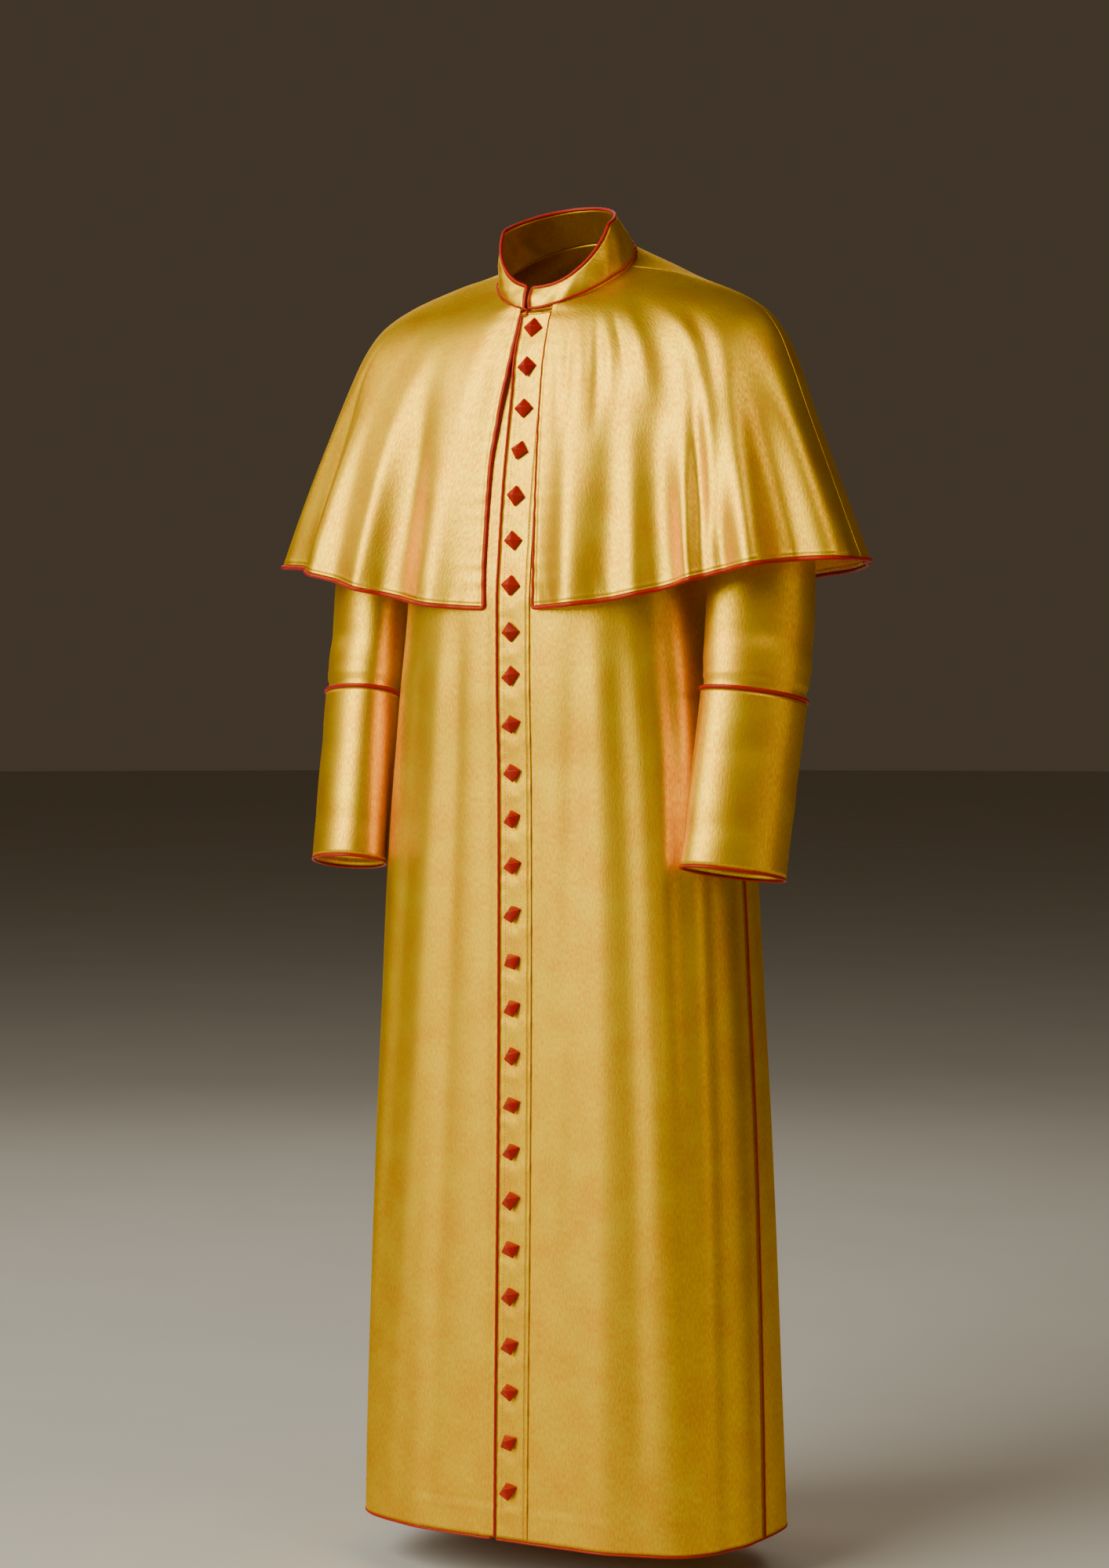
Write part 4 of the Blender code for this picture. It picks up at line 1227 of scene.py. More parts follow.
    def armhole_way(self, station: float, cut: float) -> float:
        """How far from the side line the armhole edge lies.

        Args:
            station: The row's station.
            cut: How far it lies at its widest.

        Returns:
            The distance.
        """
        if station < self.armpit or station > 0:
            return 0.0
        level = 1 - 2 * station / self.armpit
        return cut * (1 - min(abs(level), 1.0) ** self.armhole_roundness) ** (1 / self.armhole_roundness)

    def tucked(self, sheet: Sheet, places: list[np.ndarray], rings: list[Ring]) -> Sheet:
        """The right front with its edge pushed in under the left one.

        Args:
            sheet: The smooth right front.
            places: The places of its rows, as on the wearer's left.
            rings: The ring of each row.

        Returns:
            The tucked sheet.
        """
        ways = np.array([row[::-1] * ring.front_length for row, ring in zip(places, rings)])
        depth = self.tuck * soft_step((self.tuck_from - ways) / (self.tuck_from - self.under_flat_to))
        return sheet.moved(-depth)

    def pucker(self) -> None:
        """Raises the small puckers beside the sewn lines and the line of the turned-up hem."""
        heights = self.left.points[..., 2]
        ways = np.broadcast_to(np.linspace(0, 1, self.columns), heights.shape)
        near = bell(ways, 0.0, self.pucker_reach)
        wave = np.sin(heights / self.pucker_length * 2 * math.pi)
        wave = wave * np.sin(heights * self.pucker_drift + 1.0)
        self.left = self.left.moved(self.pucker_height * near * wave)
        self.left, self.right, self.back, self.back_right = (
            self.with_hem_line(sheet) for sheet in (self.left, self.right, self.back, self.back_right)
        )

    def with_hem_line(self, sheet: Sheet) -> Sheet:
        """The sheet with the pressed line of its turned-up hem."""
        above = sheet.points[..., 2] - HEM_HEIGHT
        return sheet.moved(sum(size * bell(above, place, width) for place, size, width in self.hem_lines))

    def button_pull(self, ways: np.ndarray, heights: np.ndarray) -> np.ndarray:
        """How far out the placket stands: it dips at each button and swells a little between them.

        Args:
            ways: How far from the front middle each point lies.
            heights: The points' heights.

        Returns:
            The distance of each point.
        """
        total = np.zeros(heights.shape)
        aside = ways - (self.placket[0] + self.placket[1]) / 2 - self.pull_off_middle
        near = bell(aside, 0.0, self.pull_reach)
        ripple_height, ripple_reach, ripple_place, ripple_slant, ripple_width = self.ripple
        for low, high in (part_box(f"button_{number:02d}") for number in range(1, BUTTON_COUNT + 1)):
            above = heights - (low.z + high.z) / 2
            for size, place, width in self.pulls:
                total += size * near * bell(above, place, width)
            slanted = bell(above + ripple_slant * aside, ripple_place, ripple_width)
            total += ripple_height * aside / ripple_reach * slanted
        return total

    def build(self, wardrobe: Wardrobe) -> None:
        """Makes the panels, the placket and the cords."""
        wardrobe.cloth("front_left", self.left, WALL)
        wardrobe.cloth("front_right", self.right, WALL)
        wardrobe.cloth("back_left", self.back, WALL)
        wardrobe.cloth("back_right", self.back_right, WALL)
        wardrobe.cloth("placket", self.band, self.placket_wall)
        edge = self.left.edge("first", self.front_piping.radius, 0.0)
        edge[-1] += unit(edge[-2] - edge[-1]) * self.placket_short_top
        wardrobe.cord("piping_front", edge, self.front_piping)
        left_hem, right_hem, back_hem, far_hem = (
            sheet.edge("low", self.hem_piping.radius, WALL)
            for sheet in (self.left, self.right, self.back, self.back_right)
        )
        right_hem = right_hem[right_hem[:, 0] < self.hem_lap]
        path = np.concatenate([left_hem[:-1], back_hem[1:-1], far_hem[1:-1], right_hem[1:]])
        wardrobe.cord("piping_hem", path, self.hem_piping)
        below = self.stations <= self.armpit + TINY
        seam = (self.left.points[below, -1] + self.back.points[below, 0]) / 2
        path = seam + self.left.normals[below, -1] * (self.side_piping.radius + SEAM_GAP)
        path = path[: -self.side_short_rows]
        wardrobe.cord("piping_side_left", path, self.side_piping)
        wardrobe.cord("piping_side_right", path * MIRROR_X, self.side_piping)

    def stitch_lines(self) -> list[tuple[np.ndarray, np.ndarray]]:
        """Lines of topstitching on the placket.

        Returns:
            Each line's points and outward directions.
        """
        inside = slice(*self.stitch_ends)
        return [
            (self.band.points[inside, column], self.band.normals[inside, column])
            for column in self.stitch_columns
        ]


@dataclass
class Sleeve:
    """A set-in sleeve with its deep cuff and the two cords on the cuff."""

    body: BodyPanels
    arm_rings: Rows = (
        (-0.380, 0.2515, -0.0340, 0.0605, 0.0425, 45.0),
        (-0.460, 0.2520, -0.0490, 0.0590, 0.0420, 45.0),
        (-0.550, 0.2495, -0.0680, 0.0585, 0.0415, 45.0),
        (-0.649, 0.2465, -0.0875, 0.0585, 0.0415, 45.0),
    )
    arm_columns: tuple[str, ...] = ("height", "across", "along", "long_half", "short_half", "turn")
    head_out: tuple[float, float] = (0.012, 0.090)
    head_drop: tuple[float, float] = (-0.55, -0.10)
    head_lift: tuple[float, float] = (0.045, 0.140)
    head_lean: float = 0.1
    head_fullness: float = 1.3
    head_rows: int = 36
    arm_rows: int = 64
    cuff_rows: int = 44
    cuff_wall: float = 0.0015
    cuff_sink: float = 0.0025
    sink_from: float = -0.444
    sink_over: float = 0.008
    cuff_top: float = -0.462
    cuff_low: float = -0.649
    sleeve_low: float = -0.641
    top_piping: Piping = Piping(0.0022, sides=12)
    hem_piping: Piping = Piping(0.0017)
    # Soft creases of the sleeve: height, way round, width along, width round, height, slant.
    creases: Rows = (
        (-0.400, 0.30, 0.012, 0.16, -0.0016, 0.030),
        (-0.425, 0.62, 0.012, 0.18, 0.0014, -0.030),
        (-0.440, 0.10, 0.010, 0.14, -0.0012, 0.020),
        (-0.520, 0.36, 0.016, 0.14, -0.0010, 0.040),
        (-0.575, 0.66, 0.014, 0.16, 0.0009, -0.030),
        (-0.610, 0.22, 0.012, 0.16, -0.0011, 0.030),
        (-0.500, 0.85, 0.016, 0.16, 0.0010, 0.030),
    )

    def armhole(self) -> tuple[np.ndarray, np.ndarray]:
        """The left armhole, from the panels' edges.

        Returns:
            Its points, and the share of the way round at which each one lies.
        """
        rows = slice(self.body.rows_below, self.body.rows_below + self.body.rows_armhole + 1)
        ahead, behind = self.body.left.points[rows, -1], self.body.back.points[rows, 0]
        armpit, tip = (ahead[0] + behind[0]) / 2, (ahead[-1] + behind[-1]) / 2
        loop = np.concatenate([[armpit], ahead[1:-1], [tip], behind[-2:0:-1]])
        steps = np.linalg.norm(np.roll(loop, -1, axis=0) - loop, axis=1)
        return loop, np.concatenate([[0], np.cumsum(steps)[:-1]]) / steps.sum()

    def ring(self, height: float, around: np.ndarray, shrink: float = 0.0) -> np.ndarray:
        """A ring of the sleeve, square to the arm, starting on its inner side and going by the front.

        Args:
            height: The height of its middle.
            around: Shares of the way round.
            shrink: How much smaller it is.

        Returns:
            The ring's points.
        """
        keys = [-row[0] for row in self.arm_rings]
        size = {
            name: float(smooth_value(keys, [row[i] for row in self.arm_rings], -height))
            for i, name in enumerate(self.arm_columns)
        }
        top, low = self.arm_rings[0], self.arm_rings[-1]
        way = unit(np.array([top[1] - low[1], top[2] - low[2], top[0] - low[0]]))
        turn = math.radians(size["turn"])
        angles = around * 2 * math.pi + math.pi - turn
        grow = np.zeros(len(around)) - shrink
        for at, spot, tall, wide, out, slant in self.creases:
            gap = (around - spot + 0.5) % 1 - 0.5
            grow = grow + out * np.exp(-(((height - at - slant * gap) / tall) ** 2) - (gap / wide) ** 2)
        along_long = (size["long_half"] + grow) * np.cos(angles)
        along_short = (size["short_half"] + grow) * np.sin(angles)
        dx = along_long * math.cos(turn) - along_short * math.sin(turn)
        dy = along_long * math.sin(turn) + along_short * math.cos(turn)
        dz = -(dx * way[0] + dy * way[1]) / way[2]
        return np.stack([size["across"] + dx, size["along"] + dy + BODY_LINE_Y, height + dz], axis=-1)

    def head(self, loop: np.ndarray, ring: np.ndarray, around: np.ndarray) -> list[np.ndarray]:
        """Rows of the sleeve head, each between the armhole and the first arm ring.

        Args:
            loop: The armhole.
            ring: The first arm ring.
            around: Shares of the way round.

        Returns:
            The rows.
        """
        height = 0.5 - 0.5 * np.cos(around * 2 * math.pi)
        out = between(self.head_out, height**self.head_fullness)
        first = loop + np.stack([out, 0 * out, out * between(self.head_drop, height)], axis=-1)
        lift = between(self.head_lift, height)
        second = ring + np.stack([0 * lift, self.head_lean * lift, lift], axis=-1)
        return [
            (1 - t) ** 3 * loop + 3 * t * (1 - t) ** 2 * first + 3 * t * t * (1 - t) * second + t**3 * ring
            for t in np.linspace(0, 1, self.head_rows)
        ]

    def build(self, wardrobe: Wardrobe) -> None:
        """Makes both sleeves, their cuffs and the cords."""
        loop, around = self.armhole()
        loop = loop + unit(loop.mean(axis=0) - loop) * 2 * SEAM_GAP + np.array([SEAM_GAP, 0, 0])
        top = self.arm_rings[0][0]
        rows = self.head(loop, self.ring(top, around), around)
        for height in np.linspace(top, self.sleeve_low, self.arm_rows)[1:]:
            sink = self.cuff_sink * float(soft_step((self.sink_from - height) / self.sink_over))
            rows.append(self.ring(height, around, sink))
        sleeve = Sheet(np.array(rows)[::-1], wraps=True)
        heights = np.linspace(self.cuff_low, self.cuff_top, self.cuff_rows)
        cuff = Sheet(np.array([self.ring(height, around) for height in heights]), wraps=True)
        up = unit(cuff.points[-1] - cuff.points[-2])
        top_path = cuff.points[-1] + up * (self.top_piping.radius + SEAM_GAP) + cuff.normals[-1] * SEAM_GAP
        drop = up * (self.hem_piping.radius + SEAM_GAP)
        low_path = cuff.points[0] - drop - cuff.normals[0] * self.cuff_wall / 2
        sides = (
            ("left", sleeve, cuff, np.ones(3)),
            ("right", sleeve.mirrored(), cuff.mirrored(), MIRROR_X),
        )
        for name, arm, end, flip in sides:
            wardrobe.cloth(f"sleeve_{name}", arm, WALL)
            wardrobe.cloth(f"cuff_{name}", end, self.cuff_wall)
            wardrobe.cord(f"piping_cuff_top_{name}", top_path * flip, self.top_piping, Edge.LOOP)
            wardrobe.cord(f"piping_cuff_hem_{name}", low_path * flip, self.hem_piping, Edge.LOOP)


@dataclass
class Collar:
    """The stand collar, the cords on its edge, ends and base, and the closing loop."""

    starts: float = -0.0055
    ends: float = -0.0165
    wall: float = 0.0020
    columns: int = 150
    rows: int = 22
    edge_piping: Piping = Piping(0.0019)
    neck_piping: Piping = Piping(0.0017)
    corner: float = 0.0006
    band_height: float = 0.047
    neck_rise: float = 0.0090
    neck_dip: float = 0.0060
    neck_dip_reach: tuple[float, float] = (0.10, 0.05)
    neck_shares: tuple[float, float] = (1.0, 0.55)
    neck_front: float = 0.03
    neck_fade: float = 0.22
    loop_cord: Piping = Piping(0.0009, sides=8, step=0.0012, pucker=0.02)
    loop_radius: float = 0.0042
    loop_place: tuple[float, float] = (-0.0110, -0.0370)
    loop_points: int = 24
    loop_seat: float = 0.0010

    def build(self, wardrobe: Wardrobe) -> None:
        """Makes the band, its cords and the loop."""
        form = Form(COLLAR_RINGS, collar_fold)
        stations = np.linspace(0, 1, self.rows)
        places = []
        for station in stations:
            ring = form.ring(float(station))
            start, end = ring.place_of(self.starts), 4 + ring.place_of(self.ends)
            places.append(np.linspace(start, end, self.columns))
        collar = form.sheet(stations, places)
        wardrobe.cloth("collar", collar, self.wall)
        first, top, last = (
            collar.edge(edge, self.edge_piping.radius, self.wall) for edge in ("first", "high", "last")
        )
        corners = []
        for end, column in ((first, 0), (last, -1)):
            middle = (end[-1] + top[column]) / 2
            corners.append(middle + unit(middle - collar.points[-1, column]) * self.corner)
        path = np.concatenate([first, corners[:1], top, corners[1:], last[::-1]])
        wardrobe.cord("piping_collar", path, self.edge_piping)
        neck = self.neck_line(collar)
        around = np.linspace(0, 1, len(neck))
        shares = between(self.neck_shares, soft_step(np.abs(around - self.neck_front) / self.neck_fade))
        wardrobe.cord("piping_neck", neck, self.neck_piping, shares=shares)
        across, height = self.loop_place
        front = min(first[:, 1].min(), neck[:, 1].min()) - self.loop_cord.radius - self.loop_seat
        turns = np.arange(self.loop_points) * 2 * math.pi / self.loop_points
        loop = np.stack(
            [
                across + self.loop_radius * np.cos(turns),
                np.full(len(turns), front),
                height + self.loop_radius * np.sin(turns),
            ],
            axis=1,
        )
        wardrobe.cord("collar_loop", loop, self.loop_cord, Edge.LOOP)

    def neck_line(self, collar: Sheet) -> np.ndarray:
        """The middle line of the cord at the collar's base, which dips at both front ends.

        Args:
            collar: The band.

        Returns:
            The line's points.
        """
        row = int(round(self.neck_rise / self.band_height * (self.rows - 1)))
        around = np.linspace(0, 1, len(collar.points[0]))
        start_reach, end_reach = self.neck_dip_reach
        dips = bell(around, 0.0, start_reach) + bell(around, 1.0, end_reach)
        rises = self.neck_rise - self.neck_dip * dips
        base = collar.points[0] + unit(collar.points[row] - collar.points[0]) * rises[:, None]
        return base + collar.normals[0] * (self.neck_piping.radius + 2 * SEAM_GAP)


@dataclass
class Cape:
    """The shoulder cape: two fronts, a back, and the cord round its edges."""

    # The front edges: station, and how far from the front middle the right and left ones lie.
    edges: Rows = (
        (0.000, -0.0192, 0.0235),
        (0.090, -0.0218, 0.0258),
        (0.170, -0.0302, 0.0280),
        (0.240, -0.0354, 0.0295),
        (0.370, -0.0360, 0.0325),
        (0.460, -0.0340, 0.0350),
    )
    edge_steps: tuple[float, ...] = (0.0, 0.0012, 0.0024, 0.0036, 0.0048, 0.0062, 0.0082, 0.011)
    rows_start: float = 0.0145
    columns_start: float = 0.012
    rows: int = 124
    front_columns: int = 108
    back_columns: int = 206
    piping: Piping = Piping(0.0024, sides=12)
    pucker: float = 0.0005
    pucker_length: float = 0.021
    pucker_reach: float = 0.020
    pucker_drift: float = 41.0
    # The turning pressed under the edges: its height, and place and width of its ridge and groove.
    turning: float = 0.0003
    turning_ridge: tuple[float, float] = (0.0046, 0.0013)
    turning_groove: tuple[float, float] = (0.0020, 0.0010)
    # The share of the cord's radius that shows on the hidden left edge, at the hem and at the neck.
    hidden_edge: tuple[float, float] = (0.75, 0.24)
    hidden_growth: float = 0.6
    # The share that shows of the right edge's cord at the neck, and how soon it is whole.
    thin_top: float = 0.55
    thin_part: float = 3.6
    cord_short: int = 5

    def build(self, wardrobe: Wardrobe) -> None:
        """Makes the three panels and the cord."""
        form = Form(CAPE_RINGS, cape_fold)
        near = np.array(self.edge_steps)
        hem = CAPE_RINGS[-1][0]
        stations = hem - np.append(near, np.linspace(self.rows_start, hem, self.rows))
        keys, right_edges, left_edges = zip(*self.edges)
        left_places, right_places, back_places = [], [], []
        for station in stations:
            ring = form.ring(float(station))
            right_edge = float(smooth_value(keys, right_edges, station))
            left_edge = float(smooth_value(keys, left_edges, station))
            side = 1 - SEAM_GAP / 2 / ring.front_length
            far = 1 + SEAM_GAP / 2 / ring.back_length
            for rows, edge in ((left_places, left_edge), (right_places, -right_edge)):
                places = ring.place_of(edge) + near / ring.front_length
                rest = np.linspace(places[-1] + self.columns_start, side, self.front_columns)
                rows.append(np.append(places, rest))
            right_places[-1] = -right_places[-1][::-1]
            back_places.append(np.linspace(far, 4 - far, self.back_columns))
        left = self.puckered(form.sheet(stations, left_places), "first")
        right = self.puckered(form.sheet(stations, right_places), "last")
        back = self.puckered(form.sheet(stations, back_places), "low")
        wardrobe.cloth("cape_front_left", left, WALL)
        wardrobe.cloth("cape_front_right", right, WALL)
        wardrobe.cloth("cape_back", back, WALL)
        self.build_cord(wardrobe, left, right, back)

    def puckered(self, sheet: Sheet, edge: str) -> Sheet:
        """The sheet with the ridge of the turning and small puckers where the cord is sewn on.

        Args:
            sheet: The smooth panel.
            edge: The front edge that has a cord as well as the hem, or low for none.

        Returns:
            The finished panel.
        """
        uv = sheet.flat_uv()
        inward = [(uv[..., 1], uv[..., 0])]
        if edge != "low":
            start = uv[:, :1, 0] if edge == "first" else uv[:, -1:, 0]
            inward.append((np.abs(uv[..., 0] - start), uv[..., 1]))
        total = np.zeros(uv.shape[:2])
        for away, along in inward:
            wave = np.sin(along / self.pucker_length * 2 * math.pi) * np.sin(along * self.pucker_drift)
            total += self.pucker * np.exp(-away / self.pucker_reach) * wave
            total += self.turning * (bell(away, *self.turning_ridge) - bell(away, *self.turning_groove))
        return sheet.moved(total)

    def build_cord(self, wardrobe: Wardrobe, left: Sheet, right: Sheet, back: Sheet) -> None:
        """The cord down one front edge, round the hem and up the other.

        Args:
            wardrobe: The finishes.
            left: The left front.
            right: The right front.
            back: The back.
        """
        radius = self.piping.radius
        shown = between(self.hidden_edge, np.linspace(0, 1, len(left.points)) ** self.hidden_growth)
        left_edge, left_hem = left.edge("first", radius * shown, WALL), left.edge("low", radius, WALL)
        whole = soft_step(np.linspace(self.thin_part, 0.0, len(right.points)))
        thick = between((self.thin_top, 1.0), whole)
        right_edge, right_hem = right.edge("last", radius * thick, WALL), right.edge("low", radius, WALL)
        back_hem = back.edge("low", radius, WALL)
        left_tip, right_tip = (
            sheet.points[0, column] - sheet.normals[0, column] * WALL / 2
            for sheet, column in ((left, 0), (right, -1))
        )
        left_corner = left_edge[0] + left_hem[0] - left_tip
        right_corner = right_edge[0] + right_hem[-1] - right_tip
        down, up = slice(-1 - self.cord_short, 0, -1), slice(1, -self.cord_short)
        path = np.concatenate(
            [
                left_edge[down],
                [(left_edge[0] + left_corner) / 2, (left_hem[0] + left_corner) / 2],
                left_hem[1:-1],
                back_hem[1:-1],
                right_hem[1:-1],
                [(right_hem[-1] + right_corner) / 2, (right_edge[0] + right_corner) / 2],
                right_edge[up],
            ]
        )
        shares = np.ones(len(path))
        shares[: len(shown[down])] = shown[down]
        shares[-len(thick[up]) :] = thick[up]
        wardrobe.cord("piping_cape", path, self.piping, shares=shares)


@dataclass
class Buttons:
    """Satin-covered pyramid buttons on their points, with the thread that sews each one on."""

    body: BodyPanels
    half: float = 0.0121
    rise: float = 0.0092
    rim: float = 0.0016
    bevel: float = 0.0011
    foot: float = 0.93
    gathered: float = 0.35
    lift: float = 0.0011
    seated: float = 0.9
    seat_column: int = 11
    # Small differences between the buttons: turn, lean and nod in degrees, size and slant of the cloth.
    tilts: tuple[float, ...] = (5.0, 3.0, 3.0)
    sizes: tuple[float, ...] = (0.03, 0.03, 0.05)
    skew: float = 0.09
    # Below the waist the buttons hang: from which height, over how much, and how far they turn and lean.
    sag_from: float = -0.38
    sag_over: float = 0.16
    sag_turn: float = 22.0
    sag_lean: float = -22.0
    shank_radius: float = 0.0030
    shank_sink: float = 0.0002

    def model(self) -> bpy.types.Object:
        """One button on the XY plane, its point to +Z, modelled once.

        Returns:
            The button.
        """
        bpy.ops.object.select_all(action="DESELECT")
        depth = self.rise - self.rim
        bpy.ops.mesh.primitive_cone_add(vertices=4, radius1=self.half, radius2=0.0, depth=depth)
        button = bpy.context.object
        bpy.ops.object.mode_set(mode="EDIT")
        bpy.ops.mesh.select_all(action="SELECT")
        bpy.ops.transform.translate(value=(0, 0, (self.rise + self.rim) / 2))
        bpy.ops.mesh.select_all(action="DESELECT")
        bpy.ops.object.mode_set(mode="OBJECT")
        for face in button.data.polygons:
            face.select = face.normal.z < -0.9
        bpy.ops.object.mode_set(mode="EDIT")
        bpy.ops.mesh.select_mode(type="FACE")
        bpy.ops.mesh.extrude_region_move(TRANSFORM_OT_translate={"value": (0, 0, -self.rim)})
        bpy.ops.transform.resize(value=(self.foot, self.foot, 1.0))
        bpy.ops.mesh.inset(thickness=self.half * self.gathered, depth=0.0)
        bpy.ops.mesh.select_all(action="SELECT")
        bpy.ops.mesh.normals_make_consistent(inside=False)
        bpy.ops.object.mode_set(mode="OBJECT")
        soften = button.modifiers.new("soft_edges", "BEVEL")
        soften.width = self.bevel
        soften.segments = 3
        soften.limit_method = "ANGLE"
        soften.angle_limit = math.radians(20)
        bpy.ops.object.modifier_apply(modifier=soften.name)
        crown = button.modifiers.new("crown", "SUBSURF")
        crown.subdivision_type = "SIMPLE"
        crown.levels = crown.render_levels = 1
        bpy.ops.object.modifier_apply(modifier=crown.name)
        bpy.ops.object.shade_smooth_by_angle(angle=math.radians(35))
        return button

    def shank(self) -> bpy.types.Object:
        """The thread shank between a button and the placket, modelled once.

        Returns:
            The shank.
        """
        bpy.ops.object.select_all(action="DESELECT")
        depth = self.lift + 2 * self.shank_sink
        bpy.ops.mesh.primitive_cylinder_add(vertices=12, radius=self.shank_radius, depth=depth)
        shank = bpy.context.object
        bpy.ops.object.mode_set(mode="EDIT")
        bpy.ops.transform.translate(value=(0, 0, self.lift / 2))
        bpy.ops.mesh.bevel(offset=self.shank_sink, segments=1)
        bpy.ops.object.mode_set(mode="OBJECT")
        return shank

    def build(self, wardrobe: Wardrobe) -> None:
        """Places a copy of the button and its shank at each solid's place."""
        chance = np.random.default_rng(SEED)
        model, shank = self.model(), self.shank()
        for number in range(1, BUTTON_COUNT + 1):
            node = f"button_{number:02d}"
            low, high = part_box(node)
            seat, out = self.seat((low.x + high.x) / 2, (low.z + high.z) / 2)
            standing = Matrix.Translation(out * self.lift * self.seated) @ seat
            where = standing @ self.wobble(chance, (low.z + high.z) / 2)
            button = self.copied(model, f"satin_{node}", where)
            wardrobe.dress(button, wardrobe.red_button, "red_button", node)
            where = Matrix.Translation(-out * self.shank_sink) @ seat
            thread = self.copied(shank, f"shank_{number:02d}", where)
            wardrobe.dress(thread, wardrobe.red_thread, "red_button")
        bpy.data.objects.remove(model)
        bpy.data.objects.remove(shank)

    def seat(self, across: float, height: float) -> tuple[Matrix, Vector]:
        """The place of a button on the placket, with its point outwards and a corner up.

        Args:
            across: The button's X.
            height: Its Z.

        Returns:
            The place, and the outward direction.
        """
        band, column = self.body.band, self.seat_column
        line, normals = band.points[::-1, column], band.normals[::-1, column]
        spot, out = (read_columns(-height, -line[:, 2], values) for values in (line, normals))
        out = unit(out)
        up = unit(np.array([0.0, 0.0, 1.0]) - out * out[2])
        seat = Matrix((np.cross(up, out), up, out)).transposed().to_4x4()
        seat.translation = Vector((across, spot[1], height))
        return seat, Vector(out)

    def wobble(self, chance: np.random.Generator, height: float) -> Matrix:
        """How one button differs from the model.

        Args:
            chance: Where its small differences come from.
            height: Its height, below which it sags.

        Returns:
            The change, to be made before it is put in its place.
        """
        sag = float(soft_step((self.sag_from - height) / self.sag_over))
        turn, lean, nod = np.radians(chance.normal(0, self.tilts))
        turn += math.radians(self.sag_turn) * sag
        lean += math.radians(self.sag_lean) * sag
        turned = Matrix.Rotation(turn, 4, "Z") @ Matrix.Rotation(lean, 4, "X")
        size = Matrix.Diagonal((*chance.normal(1, self.sizes), 1))
        skew = Matrix.Identity(4)
        skew[0][1], skew[1][0] = chance.normal(0, self.skew, 2)
        return turned @ Matrix.Rotation(nod, 4, "Y") @ skew @ size

    def copied(self, model: bpy.types.Object, name: str, where: Matrix) -> bpy.types.Object:
        """A copy of a model with its own mesh, which holds its place.

        Args:
            model: The model.
            name: The copy's name.
            where: Its place.

        Returns:
            The copy, at the origin.
        """
        mesh = model.data.copy()
        mesh.name = name
        mesh.transform(where)
        self.map_flat(mesh)
        piece = bpy.data.objects.new(name, mesh)
        bpy.context.scene.collection.objects.link(piece)
        return piece

    @staticmethod
    def map_flat(mesh: bpy.types.Mesh) -> None:
        """Gives the mesh a flat map in metres, seen from the front.

        Args:
            mesh: The mesh, already in its place.
        """
        while mesh.uv_layers:
            mesh.uv_layers.remove(mesh.uv_layers[0])
        layer = mesh.uv_layers.new(name="flat")
        for loop in mesh.loops:
            co = mesh.vertices[loop.vertex_index].co
            layer.data[loop.index].uv = (co.x + co.y, co.z)


@dataclass(frozen=True)
class Lamp:
    """A soft rectangular lamp. Azimuth is degrees round from the front, to the wearer's left."""

    name: str
    azimuth: float
    elevation: float
    distance: float
    size: tuple[float, float]
    power: float
    colour: str

    def build(self, target: tuple[float, float, float]) -> None:
        """Makes the lamp.

        Args:
            target: The place that it looks at.
        """
        data = bpy.data.lights.new(self.name, "AREA")
        data.shape = "RECTANGLE"
        data.size, data.size_y = self.size
        data.energy = self.power
        data.color = linear(self.colour)[:3]
        lamp = bpy.data.objects.new(self.name, data)
        a, e = math.radians(self.azimuth), math.radians(self.elevation)
        way = Vector((math.sin(a) * math.cos(e), -math.cos(a) * math.cos(e), math.sin(e)))
        lamp.location = Vector(target) + way * self.distance
        lamp.rotation_euler = (-way).to_track_quat("-Z", "Y").to_euler()
        bpy.context.scene.collection.objects.link(lamp)


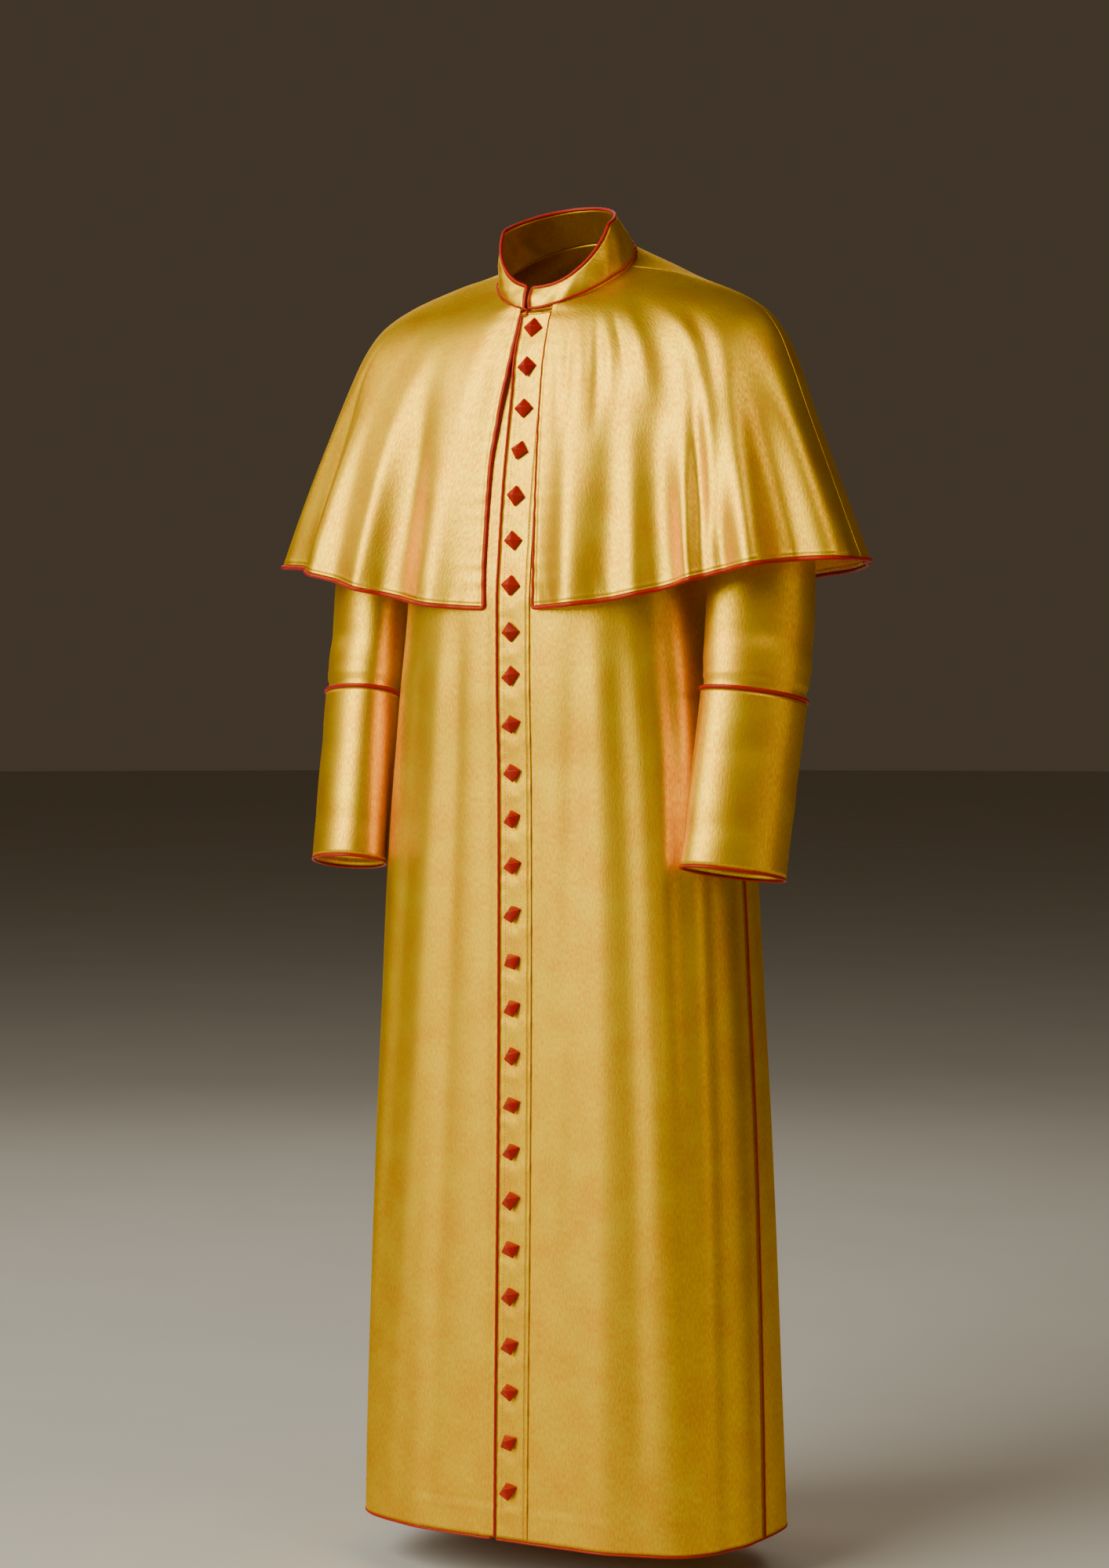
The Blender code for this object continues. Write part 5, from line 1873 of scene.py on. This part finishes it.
@dataclass
class Studio:
    """The floor, the light and the camera at the photograph's viewing angle."""

    frame_pixels: float = 2000.0
    focal_pixels: float = 4397.0
    sensor: float = 36.0
    distance: float = 3.9
    azimuth: float = 30.0
    horizon: float = 850.0
    middle: tuple[float, float] = (707.0, 1000.0)
    axis_pixel: float = 732.0
    origin_pixel: float = 365.0
    floor_drop: float = 0.055
    floor_radius: float = 30.0
    target: tuple[float, float, float] = (0.0, 0.03, -0.62)
    lamps: tuple[Lamp, ...] = (
        Lamp("key", -24.0, 30.0, 5.0, (3.6, 4.6), 350.0, "FEFFF0"),
        Lamp("fill", 92.0, 6.0, 3.6, (1.2, 2.4), 9.0, "FFE2B8"),
        Lamp("side", 70.0, 44.0, 3.4, (1.2, 1.3), 18.0, "FFF4DC"),
        Lamp("left", -86.0, 32.0, 3.4, (1.0, 1.2), 11.0, "FFFAF0"),
        Lamp("back", 216.0, 30.0, 3.6, (2.0, 2.2), 18.0, "FFF8EA"),
    )
    surround: str = "E0C4A0"
    surround_strength: float = 0.08

    def camera(self) -> None:
        """Places the camera so that the garment falls where it does in the photograph."""
        turn = math.radians(self.azimuth)
        pitch = math.atan((self.middle[1] - self.horizon) / self.focal_pixels)
        right = np.array([math.cos(turn), math.sin(turn), 0.0])
        aside = (self.axis_pixel - self.middle[0]) / self.focal_pixels * self.distance
        rise = math.atan((self.middle[1] - self.origin_pixel) / self.focal_pixels) - pitch
        spot = self.distance * np.array([math.sin(turn), -math.cos(turn), 0.0]) - aside * right
        spot[1] += BODY_LINE_Y
        spot[2] = -self.distance * math.tan(rise)
        data = bpy.data.cameras.new("view")
        data.sensor_width = self.sensor
        data.sensor_fit = "AUTO"
        data.lens = self.focal_pixels / self.frame_pixels * self.sensor
        camera = bpy.data.objects.new("view", data)
        camera.location = spot
        camera.rotation_euler = (math.pi / 2 - pitch, 0.0, turn)
        bpy.context.scene.collection.objects.link(camera)
        bpy.context.scene.camera = camera

    def floor(self) -> None:
        """A plain pale floor a little below the hem."""
        bpy.ops.object.select_all(action="DESELECT")
        bpy.ops.mesh.primitive_circle_add(vertices=96, radius=self.floor_radius, fill_type="NGON")
        floor = bpy.context.object
        floor.name = "floor"
        floor.data.transform(Matrix.Translation((0, 0, HEM_HEIGHT - self.floor_drop)))
        material = bpy.data.materials.new("pale_painted_floor")
        material.use_nodes = True
        tree = material.node_tree
        shader = tree.nodes["Principled BSDF"]
        place = add_node(tree, "ShaderNodeTexCoord")
        noise = add_node(
            tree, "ShaderNodeTexNoise", {"Scale": 3.0, "Detail": 2.0}, {"Vector": place.outputs["Object"]}
        )
        ramp = add_node(tree, "ShaderNodeValToRGB", {}, {"Fac": noise.outputs["Fac"]})
        ramp.color_ramp.elements[0].color = linear("C9C4BC")
        ramp.color_ramp.elements[1].color = linear("D3CEC6")
        tree.links.new(ramp.outputs["Color"], shader.inputs["Base Color"])
        shader.inputs["Roughness"].default_value = 0.7
        floor.data.materials.append(material)

    def build(self) -> None:
        """Sets the floor, the camera, the lamps and the surrounding light."""
        self.floor()
        self.camera()
        for lamp in self.lamps:
            lamp.build(self.target)
        world = bpy.data.worlds.new("studio")
        world.use_nodes = True
        background = world.node_tree.nodes["Background"]
        background.inputs["Color"].default_value = linear(self.surround)
        background.inputs["Strength"].default_value = self.surround_strength
        bpy.context.scene.world = world


def main() -> None:
    """Builds the garment piece by piece and reports each one."""
    logging.basicConfig(level=logging.INFO, format="%(name)s: %(message)s")
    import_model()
    wardrobe = Wardrobe.make()
    body = BodyPanels()
    body.build(wardrobe)
    Sleeve(body).build(wardrobe)
    Collar().build(wardrobe)
    Cape().build(wardrobe)
    Buttons(body).build(wardrobe)
    stitches = Stitches().build("topstitching", body.stitch_lines())
    wardrobe.dress(stitches, wardrobe.gold_thread, "gold_satin")
    Studio().build()


if __name__ == "__main__":
    main()
